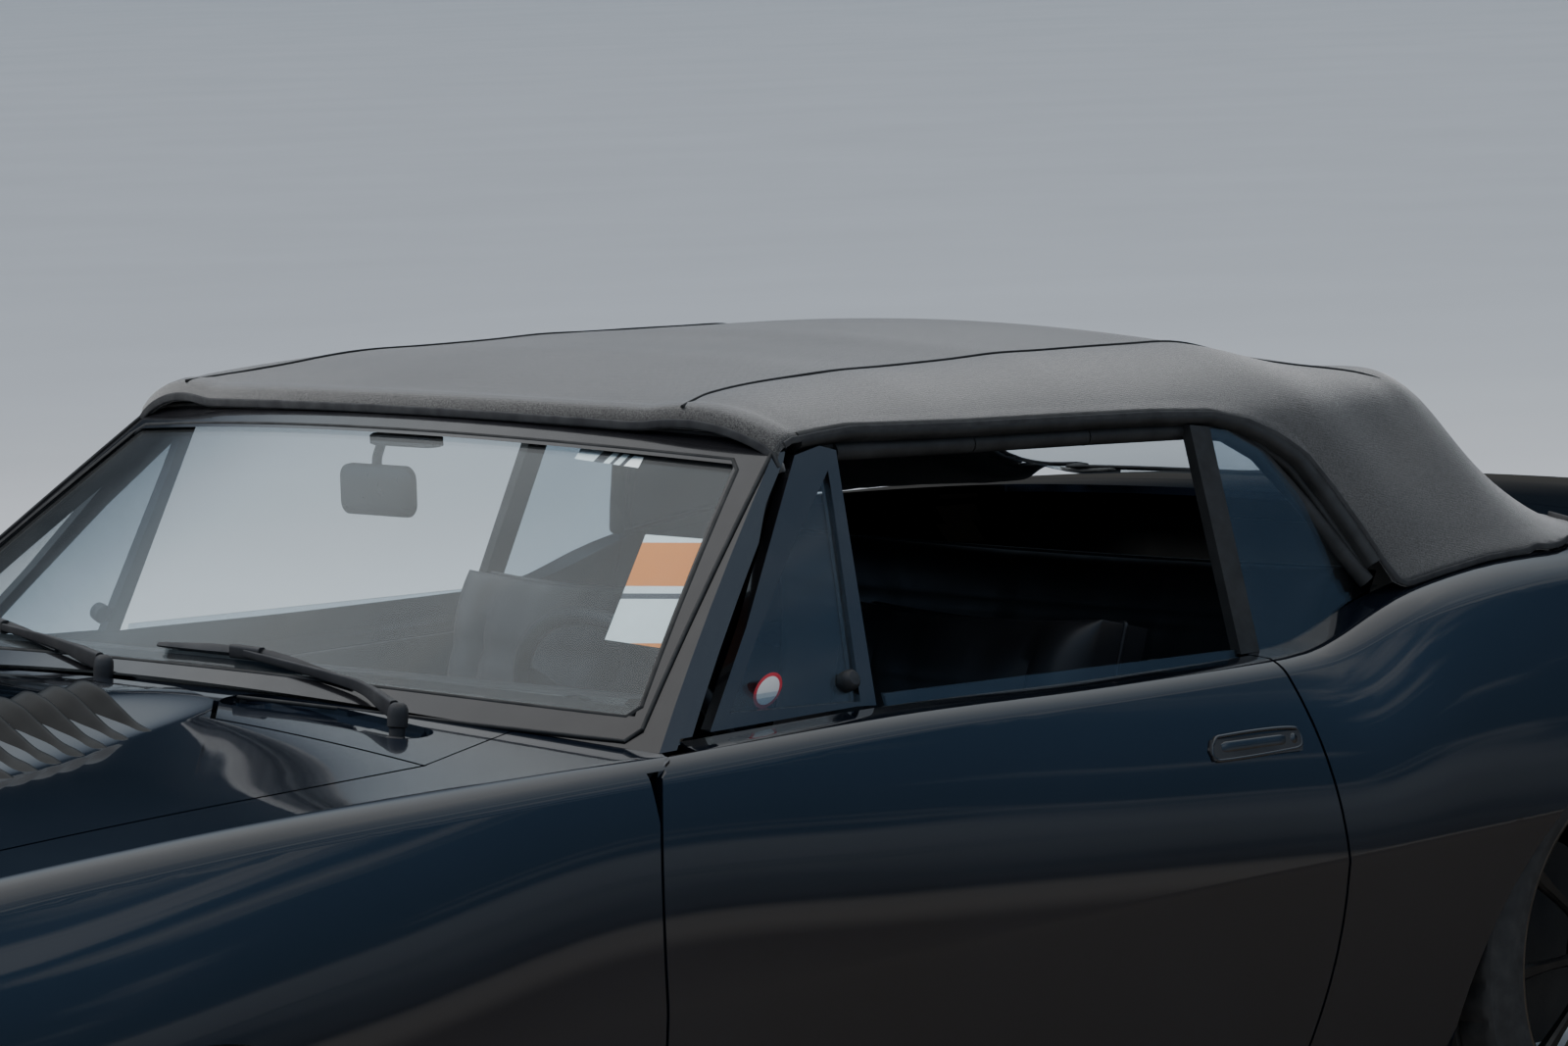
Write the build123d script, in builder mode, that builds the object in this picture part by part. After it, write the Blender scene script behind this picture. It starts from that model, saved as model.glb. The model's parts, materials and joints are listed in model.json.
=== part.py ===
"""A two-door muscle car with a folding cloth top, raised, standing on its wheels.

Units are millimetres. The origin is on the ground under the middle of the car.
+X points to the tail, +Y to the car's right and +Z up.
"""

import math
import os

from build123d import *

os.makedirs("parts", exist_ok=True)

# Axles, panels and gaps
FRONT_AXLE_X = -1405
REAR_AXLE_X = 1341
PANEL_GAP = 5
SHEET = 12
LID = 22

# Wheels: tyre radius and width, rim radius, and the middle plane of each wheel
FRONT_TYRE_R, FRONT_TYRE_W, FRONT_RIM_R, FRONT_WHEEL_Y = 327, 215, 240, 742
REAR_TYRE_R, REAR_TYRE_W, REAR_RIM_R, REAR_WHEEL_Y = 337, 265, 256, 742
FRONT_ARCH_R, REAR_ARCH_R = 382, 386
FRONT_ARCH_Z, REAR_ARCH_Z = 338, 345
FRONT_LIP_R, REAR_LIP_R = 397, 372
FRONT_LIP_Z, REAR_LIP_Z = 230, 275
KNUCKLE_Y = 665

# Doors, lids and the opening that the folding top covers
DOOR_INNER_Y = 742
DOOR_HINGE_X, DOOR_HINGE_Y = -505, 850
HOOD_HALF_W, HOOD_FRONT_X, HOOD_REAR_X, HOOD_TIP_X, HOOD_TIP_W = 688, -2262, -850, -778, 228
TRUNK_HALF_W, TRUNK_FRONT_X, TRUNK_REAR_X = 600, 1700, 2262
WIPER_X = -738
GILLS, GILL_PITCH, GILL_REAR_X = 11, 48.5, -938
WELL_HALF_W, WELL_FRONT_X, WELL_REAR_X, WELL_CORNER_R = 742, -548, 1560, 300

# Body sections, nose to tail. Columns: station x, underside z, underside y,
# crease y, crease z, shoulder y, shoulder z, centre z, shoulder radius
BODY_SECTIONS = [
    (-2345, 300, 700, 838, 520, 800, 715, 745, 40),
    (-2200, 262, 740, 866, 524, 812, 760, 794, 48),
    (-1900, 235, 770, 890, 530, 820, 812, 848, 52),
    (-1550, 215, 785, 902, 536, 822, 838, 872, 52),
    (-1100, 200, 795, 892, 542, 824, 850, 886, 50),
    (-618, 200, 800, 874, 547, 826, 848, 914, 46),
    (-150, 200, 805, 886, 556, 824, 852, 905, 44),
    (300, 200, 808, 896, 561, 822, 842, 880, 42),
    (700, 200, 808, 905, 564, 820, 838, 872, 42),
    (790, 200, 808, 908, 565, 820, 856, 888, 46),
    (870, 202, 808, 911, 566, 820, 882, 908, 52),
    (960, 205, 808, 914, 567, 819, 900, 926, 60),
    (1200, 212, 805, 919, 570, 814, 920, 948, 74),
    (1600, 225, 790, 912, 576, 804, 914, 944, 78),
    (2000, 255, 760, 886, 581, 790, 896, 926, 72),
    (2345, 310, 715, 852, 585, 772, 868, 896, 56),
]

# Cloth top sections, header to well. Columns: station x, foot y, foot z, rail y,
# rail z, seam y, seam z, centre z
TOP_SECTIONS = [
    (-250, 640, 880, 622, 1196, 430, 1231, 1243),
    (-190, 640, 880, 624, 1198, 430, 1234, 1246),
    (-90, 650, 880, 632, 1200, 430, 1247, 1260),
    (120, 660, 880, 640, 1190, 430, 1258, 1273),
    (450, 680, 890, 645, 1172, 430, 1256, 1273),
    (850, 770, 895, 640, 1152, 440, 1243, 1262),
    (1010, 784, 905, 628, 1150, 470, 1200, 1226),
    (1215, 786, 918, 600, 1142, 470, 1172, 1196),
    (1300, 784, 922, 585, 1072, 455, 1105, 1128),
    (1400, 752, 926, 560, 1000, 430, 1030, 1052),
    (1520, 640, 933, 480, 952, 380, 968, 986),
    (1612, 420, 940, 340, 944, 260, 947, 950),
]


def station(x):
    """The cross-section plane at station x, with its own x axis towards the car's left."""
    return Plane(origin=(x, 0, 0), x_dir=(0, -1, 0), z_dir=(-1, 0, 0))


def body_section(row, inset=0.0, drop=0.0):
    """One whole body section, drawn smaller by inset and longer below by drop."""
    x, low_z, low_y, crease_y, crease_z, edge_y, edge_z, centre_z, radius = row
    low_y, crease_y, edge_y = low_y - inset, crease_y - inset, edge_y - inset
    edge_z, centre_z = edge_z - inset, centre_z - inset
    low_mid = ((low_y + crease_y) / 2 + 10, (low_z + crease_z) / 2 - 6)
    side_mid = ((crease_y + edge_y) / 2 + 13, (crease_z + edge_z) / 2 + 5)
    edge = (edge_y, edge_z)
    with BuildSketch(station(x)) as section:
        with BuildLine():
            if drop:
                Line((-low_y, low_z), (-low_y, low_z - drop))
                Line((low_y, low_z - drop), (low_y, low_z))
            Line((-low_y, low_z - drop), (low_y, low_z - drop))
            ThreePointArc((low_y, low_z), low_mid, (crease_y, crease_z))
            ThreePointArc((crease_y, crease_z), side_mid, edge)
            ThreePointArc(edge, (0, centre_z), (-edge_y, edge_z))
            ThreePointArc((-edge_y, edge_z), (-side_mid[0], side_mid[1]), (-crease_y, crease_z))
            ThreePointArc((-crease_y, crease_z), (-low_mid[0], low_mid[1]), (-low_y, low_z))
        make_face()
        corners = [station(x).from_local_coords((side * edge_y, edge_z)) for side in (1, -1)]
        shoulders = [section.vertices().sort_by_distance(corner)[0] for corner in corners]
        fillet(shoulders, radius - inset / 2)
    return section.sketch


def body_block(inset=0.0, drop=0.0):
    """The body as one block with straight runs between its sections."""
    with BuildPart() as block:
        for row in BODY_SECTIONS:
            add(body_section(row, inset, drop))
        loft(ruled=True)
    return block.part


def top_block(inset=0.0):
    """The raised cloth top as one block, drawn smaller by inset."""
    with BuildPart() as block:
        for x, foot_y, foot_z, rail_y, rail_z, seam_y, seam_z, centre_z in TOP_SECTIONS:
            foot_y, rail_y, seam_y = foot_y - inset, rail_y - inset, seam_y - inset / 2
            rail_z, seam_z, centre_z = rail_z - inset / 2, seam_z - inset, centre_z - inset
            bulge_y, bulge_z = (rail_y + seam_y) / 2 + 22, (rail_z + seam_z) / 2 + 14
            with BuildSketch(station(x)):
                with BuildLine():
                    Line((-foot_y, foot_z - 60), (foot_y, foot_z - 60))
                    Line((foot_y, foot_z - 60), (foot_y, foot_z))
                    Line((foot_y, foot_z), (rail_y, rail_z))
                    ThreePointArc((rail_y, rail_z), (bulge_y, bulge_z), (seam_y, seam_z))
                    ThreePointArc((seam_y, seam_z), (0, centre_z), (-seam_y, seam_z))
                    ThreePointArc((-seam_y, seam_z), (-bulge_y, bulge_z), (-rail_y, rail_z))
                    Line((-rail_y, rail_z), (-foot_y, foot_z))
                    Line((-foot_y, foot_z), (-foot_y, foot_z - 60))
                make_face()
        loft(ruled=True)
    return block.part


def side_prism(points, y_from, y_to):
    """A prism of a side-view outline of straight lines, from y_from to y_to."""
    with BuildPart() as prism:
        with BuildSketch(Plane.XZ.offset(-y_to)):
            with BuildLine():
                Polyline(*points, close=True)
            make_face()
        extrude(amount=y_to - y_from)
    return prism.part


def plan_prism(points, z_from, z_to):
    """A prism of a plan-view outline of straight lines, from z_from to z_to."""
    with BuildPart() as prism:
        with BuildSketch(Plane.XY.offset(z_from)):
            with BuildLine():
                Polyline(*points, close=True)
            make_face()
        extrude(amount=z_to - z_from)
    return prism.part


def box(x, y, z):
    """A block between two values along each axis."""
    middle = [(a + b) / 2 for a, b in (x, y, z)]
    return Pos(*middle) * Box(x[1] - x[0], y[1] - y[0], z[1] - z[0])


def rod(start, end, radius):
    """A round bar from one point to another."""
    start, end = Vector(*start), Vector(*end)
    run = end - start
    return Plane(origin=start, z_dir=run) * extrude(Circle(radius), run.length)


def across(x, z, radius, y_from, y_to):
    """A round bar along the car's width."""
    return rod((x, y_from, z), (x, y_to, z), radius)


def tube(points, radius, ball=0.0):
    """Round bars joined by balls through a list of points, the balls larger by ball."""
    shape = None
    for start, end in zip(points, points[1:]):
        piece = rod(start, end, radius)
        shape = piece if shape is None else shape + piece
    for point in points[1:-1]:
        shape += Pos(*point) * Sphere(radius + ball)
    return shape


def flip(shape):
    """The same shape on the other side of the car."""
    return mirror(shape, Plane.XZ)


def save(name, *shapes):
    """Write one node from the shapes that make it."""
    with BuildPart() as node:
        for shape in shapes:
            add(shape)
    node.part.label = name
    export_step(node.part, f"parts/{name}.step")
    return node.part


# The ends of the body are curved in plan
with BuildPart() as ends:
    with BuildSketch():
        with BuildLine():
            ThreePointArc((-2215, -868), (-2325, 0), (-2215, 868))
            Line((-2215, 868), (-1900, 960))
            Line((-1900, 960), (1900, 960))
            Line((1900, 960), (2255, 858))
            ThreePointArc((2255, 858), (2325, 0), (2255, -858))
            Line((2255, -858), (1900, -960))
            Line((1900, -960), (-1900, -960))
            Line((-1900, -960), (-2215, -868))
        make_face()
    extrude(amount=1400)

outer = body_block() & ends.part
core = body_block(SHEET, 200)
lid_core = Pos(0, 0, -LID) * outer
skin = outer - core


def door_outline(grow):
    """The left door's side-view outline, wider by grow all round."""
    with BuildPart() as outline:
        with BuildSketch(Plane.XZ.offset(DOOR_INNER_Y)):
            with BuildLine():
                Line((-528, 1000), (-528, 861))
                Line((-528, 861), (-583, 828))
                ThreePointArc((-583, 828), (-616, 705), (-626, 560))
                ThreePointArc((-626, 560), (-621, 410), (-607, 272))
                Line((-607, 272), (-590, 252))
                Line((-590, 252), (600, 252))
                Line((600, 252), (622, 275))
                ThreePointArc((622, 275), (650, 410), (656, 547))
                ThreePointArc((656, 547), (647, 700), (616, 835))
                Line((616, 835), (616, 1000))
                Line((616, 1000), (-528, 1000))
            make_face()
            if grow:
                offset(amount=grow, kind=Kind.INTERSECTION)
        extrude(amount=300)
    return outline.part


door_prism = door_outline(0)
door_gap = door_outline(PANEL_GAP)

# The opening under the folding top
with BuildPart() as well:
    with BuildSketch(Plane.XY.offset(700)):
        with BuildLine():
            Line((WELL_FRONT_X, -WELL_HALF_W), (WELL_REAR_X - WELL_CORNER_R, -WELL_HALF_W))
            CenterArc((WELL_REAR_X - WELL_CORNER_R, WELL_CORNER_R - WELL_HALF_W), WELL_CORNER_R, -90, 90)
            Line((WELL_REAR_X, WELL_CORNER_R - WELL_HALF_W), (WELL_REAR_X, WELL_HALF_W - WELL_CORNER_R))
            CenterArc((WELL_REAR_X - WELL_CORNER_R, WELL_HALF_W - WELL_CORNER_R), WELL_CORNER_R, 0, 90)
            Line((WELL_REAR_X - WELL_CORNER_R, WELL_HALF_W), (WELL_FRONT_X, WELL_HALF_W))
            Line((WELL_FRONT_X, WELL_HALF_W), (WELL_FRONT_X, -WELL_HALF_W))
        make_face()
    extrude(amount=400)

# Wheel openings in the outer panels, lower than the housings behind them: the tyres tuck in
front_lip = across(FRONT_AXLE_X, FRONT_LIP_Z, FRONT_LIP_R, -1000, -430)
rear_lip = across(REAR_AXLE_X, REAR_LIP_Z, REAR_LIP_R, -1000, -592)
rear_arch = across(REAR_AXLE_X, REAR_ARCH_Z, REAR_ARCH_R, -1000, -592) & core


def hood_outline(grow):
    """The hood's plan-view outline with its rear tip, wider by grow all round."""
    w, tip = HOOD_HALF_W + grow, HOOD_TIP_W + grow
    rear, front, tip_x = HOOD_REAR_X + grow, HOOD_FRONT_X - grow, HOOD_TIP_X + grow
    right = [(front, w), (rear, w), (rear, tip + 75), (tip_x, tip)]
    return right + [(x, -y) for x, y in reversed(right)]


hood_prism = plan_prism(hood_outline(0), 690, 1200)
hood_gap = plan_prism(hood_outline(PANEL_GAP), 690, 1200)
cowl_right = [(HOOD_REAR_X - 60, HOOD_HALF_W), (HOOD_REAR_X + 5, HOOD_HALF_W), (-610, 612), (-540, 612)]
cowl_plan = cowl_right + [(x, -y) for x, y in reversed(cowl_right)]
cowl_prism = plan_prism(cowl_plan, 690, 1200)
cowl_seam = plan_prism([(x, y + math.copysign(3, y)) for x, y in cowl_plan], 690, 1200)
trunk_plan = [
    (TRUNK_FRONT_X, -TRUNK_HALF_W), (TRUNK_REAR_X, -TRUNK_HALF_W),
    (TRUNK_REAR_X, TRUNK_HALF_W), (TRUNK_FRONT_X, TRUNK_HALF_W),
]
trunk_gap = plan_prism(
    [(TRUNK_FRONT_X - 5, -TRUNK_HALF_W - 5), (TRUNK_REAR_X + 5, -TRUNK_HALF_W - 5),
     (TRUNK_REAR_X + 5, TRUNK_HALF_W + 5), (TRUNK_FRONT_X - 5, TRUNK_HALF_W + 5)], 780, 1200)

def bow_bar(ends_x, middle_x, depth, half_w, z_from, z_to):
    """A bar across the car that is curved in plan."""
    back = math.copysign(depth, -middle_x)
    with BuildPart() as bar:
        with BuildSketch(Plane.XY.offset(z_from)):
            with BuildLine():
                ThreePointArc((ends_x, -half_w), (middle_x, 0), (ends_x, half_w))
                Line((ends_x, half_w), (ends_x + back, half_w))
                ThreePointArc((ends_x + back, half_w), (middle_x + back, 0), (ends_x + back, -half_w))
                Line((ends_x + back, -half_w), (ends_x, -half_w))
            make_face()
        extrude(amount=z_to - z_from)
    return bar.part


# Front fenders, from the nose to the door
fender = skin & box((-2205, -520), (-1000, -560), (100, 1000))
fender = fender - hood_gap - cowl_seam - front_lip - door_gap - box((-605, -500), (-1000, -600), (0, 838)) - well.part
fender = fender - bow_bar(-2225, -2345, 41, 866, 397, 489)
save("fenders", fender, flip(fender))

# Rear quarters with the sills, the side walls beside the rear seat and the wheel housings
quarter = skin & box((-600, 2205), (-1000, -TRUNK_HALF_W - 5), (100, 1000))
quarter = quarter - box((-601, 625), (-1000, -600), (256, 1000))
wall = outer & box((600, 965), (-1000, -DOOR_INNER_Y), (200, 900))
housing = across(REAR_AXLE_X, REAR_ARCH_Z, REAR_ARCH_R + SHEET, -900, -580) & box((900, 1800), (-1000, -500), (345, 760))
quarter = (quarter + wall + (housing & core)) - rear_lip - rear_arch - door_gap - well.part
quarter = quarter - box((1280, 1402), (-600, -570), (300, 430))
save("quarter_panels", quarter, flip(quarter))

# Doors: solid walls as thick as a whole door, with the slot for the glass
glass_slot = box((-540, 990), (-772, -738), (806, 1000))
door = outer & door_prism
handle = outer & side_prism([(420, 728), (600, 721), (606, 733), (604, 748), (424, 755), (416, 742)], -900, -850)
handle = Pos(0, -3, 0) * handle
door = door - box((-640, -500), (-811, -700), (824, 1000)) - glass_slot - handle
for side, name in ((0, "left"), (1, "right")):
    save(f"{name}_door", flip(door) if side else door)

# Door trim pads and the flush outer handles
trim = box((-470, 600), (-741.5, -728), (300, 790)) + box((-150, 330), (-728, -690), (560, 610))
for side, name in ((0, "left"), (1, "right")):
    save(f"{name}_door_fittings", *([flip(trim), flip(handle)] if side else [trim, handle]))

# Nose around the full-width grille opening
front_bar = bow_bar(-2225, -2345, 36, 866, 400, 486)
front_bar_gap = bow_bar(-2225, -2345, 41, 866, 397, 489)
nose = outer & box((-2400, -2210), (-1000, 1000), (100, 1000))
nose = nose - box((-2252, -2200), (-690, 690), (300, 735)) - box((-2400, -2200), (-775, 775), (514, 690))
nose = nose - hood_gap - front_bar_gap
save("nose_panel", nose)

lamp_y, lamp_z, lamp_r = 590, 597, 88
grille = box((-2244, -2236), (-686, 686), (496, 694))
for row in range(9):
    grille += box((-2251, -2236), (-686, 686), (508 + 21 * row, 514 + 21 * row))
for y in (-lamp_y, lamp_y):
    grille = grille - rod((-2300, y, lamp_z), (-2200, y, lamp_z), lamp_r + 10)
    ring = rod((-2251, y, lamp_z), (-2214, y, lamp_z), lamp_r + 10) - rod((-2300, y, lamp_z), (-2200, y, lamp_z), lamp_r)
    grille += ring
save("grille", grille)
lamp = rod((-2249, -lamp_y, lamp_z), (-2218, -lamp_y, lamp_z), lamp_r - 0.2)
save("headlamps", lamp, flip(lamp))

# Hood with its raised middle
with BuildPart() as bulge:
    for x, flat_w, flat_z, foot_w, foot_z in (
        (-2060, 160, 800, 300, 770), (-1750, 185, 882, 365, 836), (-1230, 195, 924, 378, 860),
        (-960, 165, 930, 306, 870), (-726, 150, 916, 250, 885),
    ):
        with BuildSketch(station(x)):
            with BuildLine():
                Polyline(
                    (-foot_w, 740), (foot_w, 740), (foot_w, foot_z), (flat_w, flat_z),
                    (-flat_w, flat_z), (-foot_w, foot_z), close=True,
                )
            make_face()
    loft(ruled=True)
hood_body = outer + bulge.part
save("hood", (hood_body & hood_prism) - Pos(0, 0, -LID) * hood_body)

# Louvres down both sides of the raised middle: a base panel and gills that rise to the rear
BULGE_SIDE = [(-1750, 185, 882, 365, 836), (-1230, 195, 924, 378, 860), (-960, 165, 930, 306, 870)]


def bulge_side(x):
    """Top edge and foot of the raised middle's side at station x."""
    for front, rear in zip(BULGE_SIDE, BULGE_SIDE[1:]):
        if x <= rear[0]:
            t = (x - front[0]) / (rear[0] - front[0])
            return [a + t * (b - a) for a, b in zip(front[1:], rear[1:])]
    return list(BULGE_SIDE[-1][1:])


def gill_section(x, high):
    """A sketch over the raised middle's near side, up to high above its surface."""
    flat_w, flat_z, foot_w, foot_z = bulge_side(x)
    run, drop = foot_w - flat_w, flat_z - foot_z
    crown = foot_z + 0.12 * drop
    lower = [(flat_w - 10, flat_z + 0.2), (flat_w, flat_z + 0.2), (foot_w - 0.12 * run, crown + 0.2), (foot_w + 6, crown)]
    upper = [(flat_w - 10, flat_z + high - 2), (flat_w + 8, flat_z + high), (flat_w + 0.42 * run, flat_z - 0.30 * drop + high),
             (foot_w - 0.18 * run, crown + high + 4), (foot_w + 6, crown + high)]
    with BuildSketch(station(x)) as sketch:
        with BuildLine():
            Polyline(*lower, *reversed(upper), close=True)
        make_face()
    return sketch.sketch


with BuildPart() as panel:
    for x in (-1490, -1230, -960, -935):
        add(gill_section(x, 3))
    loft(ruled=True)
louvre_panel = panel.part
for index in range(GILLS):
    front = GILL_REAR_X - GILL_PITCH * (index + 1) + 8
    with BuildPart() as gill:
        for x, high in ((front, 3.2), (front + 30, 15), (front + 40, 15)):
            add(gill_section(x, high))
        loft(ruled=True)
    louvre_panel += gill.part
louvre_panel = louvre_panel - Pos(0, 0, 0.3) * hood_body
save("hood_louvres", louvre_panel, flip(louvre_panel))

# Cowl panel between the hood and the windshield, with a pocket for each wiper's pivot
cowl = (skin & cowl_prism) - hood_gap
with BuildPart() as pocket:
    with BuildSketch(Plane.XY.offset(860)):
        with Locations((WIPER_X - 6, -400), (WIPER_X - 6, 160)):
            SlotOverall(360, 74, rotation=90)
    extrude(amount=100)
pocket = pocket.part & (Pos(0, 0, 7) * outer - Pos(0, 0, -7) * outer)
cowl = cowl - pocket

# Trunk lid, the deck ahead of it and the tail
trunk_lid = (outer & plan_prism(trunk_plan, 780, 1200)) - lid_core
save("trunk_lid", trunk_lid)
deck = skin & box((1400, TRUNK_FRONT_X - 5), (-TRUNK_HALF_W - 4, TRUNK_HALF_W + 4), (700, 1000))
deck = deck - well.part
save("rear_deck", deck)

rear_bar = bow_bar(2262, 2345, 36, 850, 430, 516)
rear_bar_gap = bow_bar(2262, 2345, 41, 850, 427, 519)
tail = outer & box((2210, 2400), (-1000, 1000), (100, 1000))
tail = tail - box((2200, 2262), (-760, 760), (200, 862)) - trunk_gap - rear_bar_gap
lamp_box = box((2262, 2400), (300, 720), (600, 712))
tail = tail - box((2275, 2400), (296, 724), (596, 716)) - box((2275, 2400), (-724, -296), (596, 716))
save("tail_panel", tail)
save("bumpers", front_bar, rear_bar)
lamps = (outer & lamp_box & box((2276, 2400), (-900, 900), (500, 900)))
lamps = Pos(-6, 0, 0) * lamps & box((2275.2, 2400), (-900, 900), (500, 900))
save("tail_lamps", lamps, flip(lamps))


# Windshield: a curved band between two plan arcs, cut to its front-view outline.
# Columns: height z, middle x, radius
SCREEN_ARCS = [(830, -860, 1280), (1260, -162, 1430)]


def on_screen(y, z, offset):
    """The point of the windshield at y and z, moved forward of the glass by offset."""
    (z_low, x_low, r_low), (z_high, x_high, r_high) = SCREEN_ARCS
    t = (z - z_low) / (z_high - z_low)
    middle_x, radius = x_low + t * (x_high - x_low), r_low + t * (r_high - r_low)
    return (middle_x + radius - math.sqrt((radius + offset) ** 2 - y * y), y, z)


def screen_band(offset, depth=0):
    """The windshield's curved band, offset forward of the glass, or all the space behind it."""
    with BuildPart() as band:
        for z, middle_x, radius in SCREEN_ARCS:
            centre_x, front, half = middle_x + radius, radius + offset, 860
            rear = front - depth
            fx, fm = centre_x - math.sqrt(front**2 - half**2), centre_x - front
            rx, rm = (centre_x - math.sqrt(rear**2 - half**2), centre_x - rear) if depth else (900, 900)
            with BuildSketch(Plane.XY.offset(z)):
                with BuildLine():
                    ThreePointArc((fx, -half), (fm, 0), (fx, half))
                    Line((fx, half), (rx, half))
                    if depth:
                        ThreePointArc((rx, half), (rm, 0), (rx, -half))
                    else:
                        Line((rx, half), (rx, -half))
                    Line((rx, -half), (fx, -half))
                make_face()
        loft(ruled=True)
    return band.part


def front_prism(low_y, low_z, low_mid_z, high_y, high_z, high_mid_z):
    """A prism along X of the windshield's front-view outline."""
    with BuildPart() as prism:
        with BuildSketch(Plane.YZ.offset(-1200)):
            with BuildLine():
                ThreePointArc((-low_y, low_z), (0, low_mid_z), (low_y, low_z))
                Line((low_y, low_z), (high_y, high_z))
                ThreePointArc((high_y, high_z), (0, high_mid_z), (-high_y, high_z))
                Line((-high_y, high_z), (-low_y, low_z))
            make_face()
        extrude(amount=1300)
    return prism.part


# Side glass and frames lie in one sloping plane
def glass_slab(y_at_850, thick):
    """A sloping sheet along the near side."""
    low, high = y_at_850 - 0.383 * 70, y_at_850 + 0.383 * 350
    with BuildPart() as slab:
        with BuildSketch(Plane.YZ.offset(-700)):
            with BuildLine():
                Polyline((low, 780), (low + thick, 780), (high + thick, 1200), (high, 1200), close=True)
            make_face()
        extrude(amount=1900)
    return slab.part


frame_outline = front_prism(800, 852, 918, 618, 1189, 1232)
glass_outline = front_prism(741, 892, 934, 588, 1168, 1194)
seal_outline = front_prism(784, 852, 918, 604, 1182, 1228)
frame = ((screen_band(8, 24) & frame_outline) + (screen_band(-12, 44) & seal_outline)) - glass_outline - outer
frame = frame - Pos(0, 0, 6) * door - Pos(0, 0, 6) * flip(door)
vent_gap = glass_slab(-764, 27) & side_prism([(-432, 840), (-426, 866), (-310, 981), (-130, 1182), (-76, 1190),
                                              (-40, 1176), (-112, 840)], -900, -500)
frame = frame - vent_gap - flip(vent_gap)
behind_screen = screen_band(-53)
save("windshield_frame", frame)
save("cowl_panel", cowl - behind_screen)
save("windshield", screen_band(0, 6) & glass_outline)


pane, bars = glass_slab(-753, 5), glass_slab(-759, 17)
vent = [(-424, 846), (-418, 862), (-304, 976), (-126, 1176), (-76, 1184), (-48, 1176), (-118, 846)]
vent_hole = [(-376, 878), (-298, 954), (-190, 1056), (-74, 1152), (-84, 1104), (-142, 866)]
vent_frame = (bars & side_prism(vent, -900, -500)) - side_prism(vent_hole, -900, -500) - outer
vent_pane = (pane & side_prism(vent_hole, -900, -500)) - outer
strip = pane & side_prism([(-90, 812), (608, 812), (608, 850), (-90, 870)], -900, -500)
for side, name in ((0, "left"), (1, "right")):
    save(f"{name}_vent_frame", flip(vent_frame) if side else vent_frame)
    panes = [flip(vent_pane), flip(strip)] if side else [vent_pane, strip]
    save(f"{name}_door_glass", *panes)

quarter_glass = [(640, 826), (684, 1144), (730, 1136), (790, 1102), (846, 1026), (884, 958), (930, 906), (990, 892),
                 (930, 862), (840, 838), (747, 826)]
quarter_pane = (pane & side_prism(quarter_glass, -900, -500)) - outer
bar = (bars & side_prism([(604, 812), (644, 812), (690, 1144), (650, 1150)], -900, -500)) - outer
rail = tube([(-40, -618, 1172), (220, -622, 1160), (450, -624, 1150), (690, -622, 1138), (742, -626, 1130),
             (797, -640, 1098), (850, -676, 1024), (882, -716, 958), (906, -744, 912)], 12, 0.4)
side_frame = (rail + bar) - outer
save("quarter_windows", quarter_pane - side_frame, flip(quarter_pane - side_frame))
save("top_rails", side_frame, flip(side_frame))

# Folding top
with BuildPart() as top_front:
    with BuildSketch(Plane.XY.offset(850)):
        with BuildLine():
            ThreePointArc((-128, -700), (-242, 0), (-128, 700))
            Line((-128, 700), (-500, 900))
            Line((-500, 900), (-500, -900))
            Line((-500, -900), (-128, -700))
        make_face()
    extrude(amount=500)
cloth_edge = [
    (-500, 800), (-500, 1172), (-146, 1180), (-126, 1194), (-16, 1196), (181, 1184), (377, 1176), (580, 1166), (704, 1155),
    (795, 1130), (865, 1093), (893, 1040), (918, 965), (930, 905), (930, 800),
]
top = top_block() - top_block(12) - top_front.part - side_prism(cloth_edge, -900, 900) - outer
window_outline = Pos(1700, 0, 0) * front_prism(372, 974, 980, 392, 1090, 1106)
window_outline = window_outline & box((1250, 1700), (-500, 500), (900, 1200))
header_clear = frame_outline & box((-400, 0), (-900, 900), (1000, 1300))
save("folding_top", top - window_outline - header_clear - side_frame - flip(side_frame))
save("rear_window", (top_block(3) - top_block(8)) & window_outline)

# Flat floor with the sills' inner halves, and the tunnel over the gearbox and the shaft
floor = box((-655, 710), (-741, 741), (190, 204)) - box((-700, -130), (-200, 200), (180, 210))
floor = floor - box((-140, 711), (-120, 120), (180, 210))
floor += box((-600, 598), (-785, -741), (190, 248)) + box((-600, 598), (741, 785), (190, 248))
save("floor_pan", floor)
tunnel = box((-655, -130), (-199.8, 199.8), (190, 490)) - box((-700, -142), (-188, 188), (100, 478))
tunnel += box((-130, 1052), (-119.8, 119.8), (190, 400)) - box((-142, 1060), (-108, 108), (100, 388))
tunnel = tunnel - box((-143, -129), (-108, 108), (100, 388))
save("tunnel", tunnel)

# Firewall and the cowl box under the windshield
firewall = box((-669, -656), (-684, 684), (190, 850)) - box((-700, -600), (-188, 188), (100, 478))
firewall += box((-712, -669), (-684, 684), (800, 812))
save("firewall", firewall)

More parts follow.
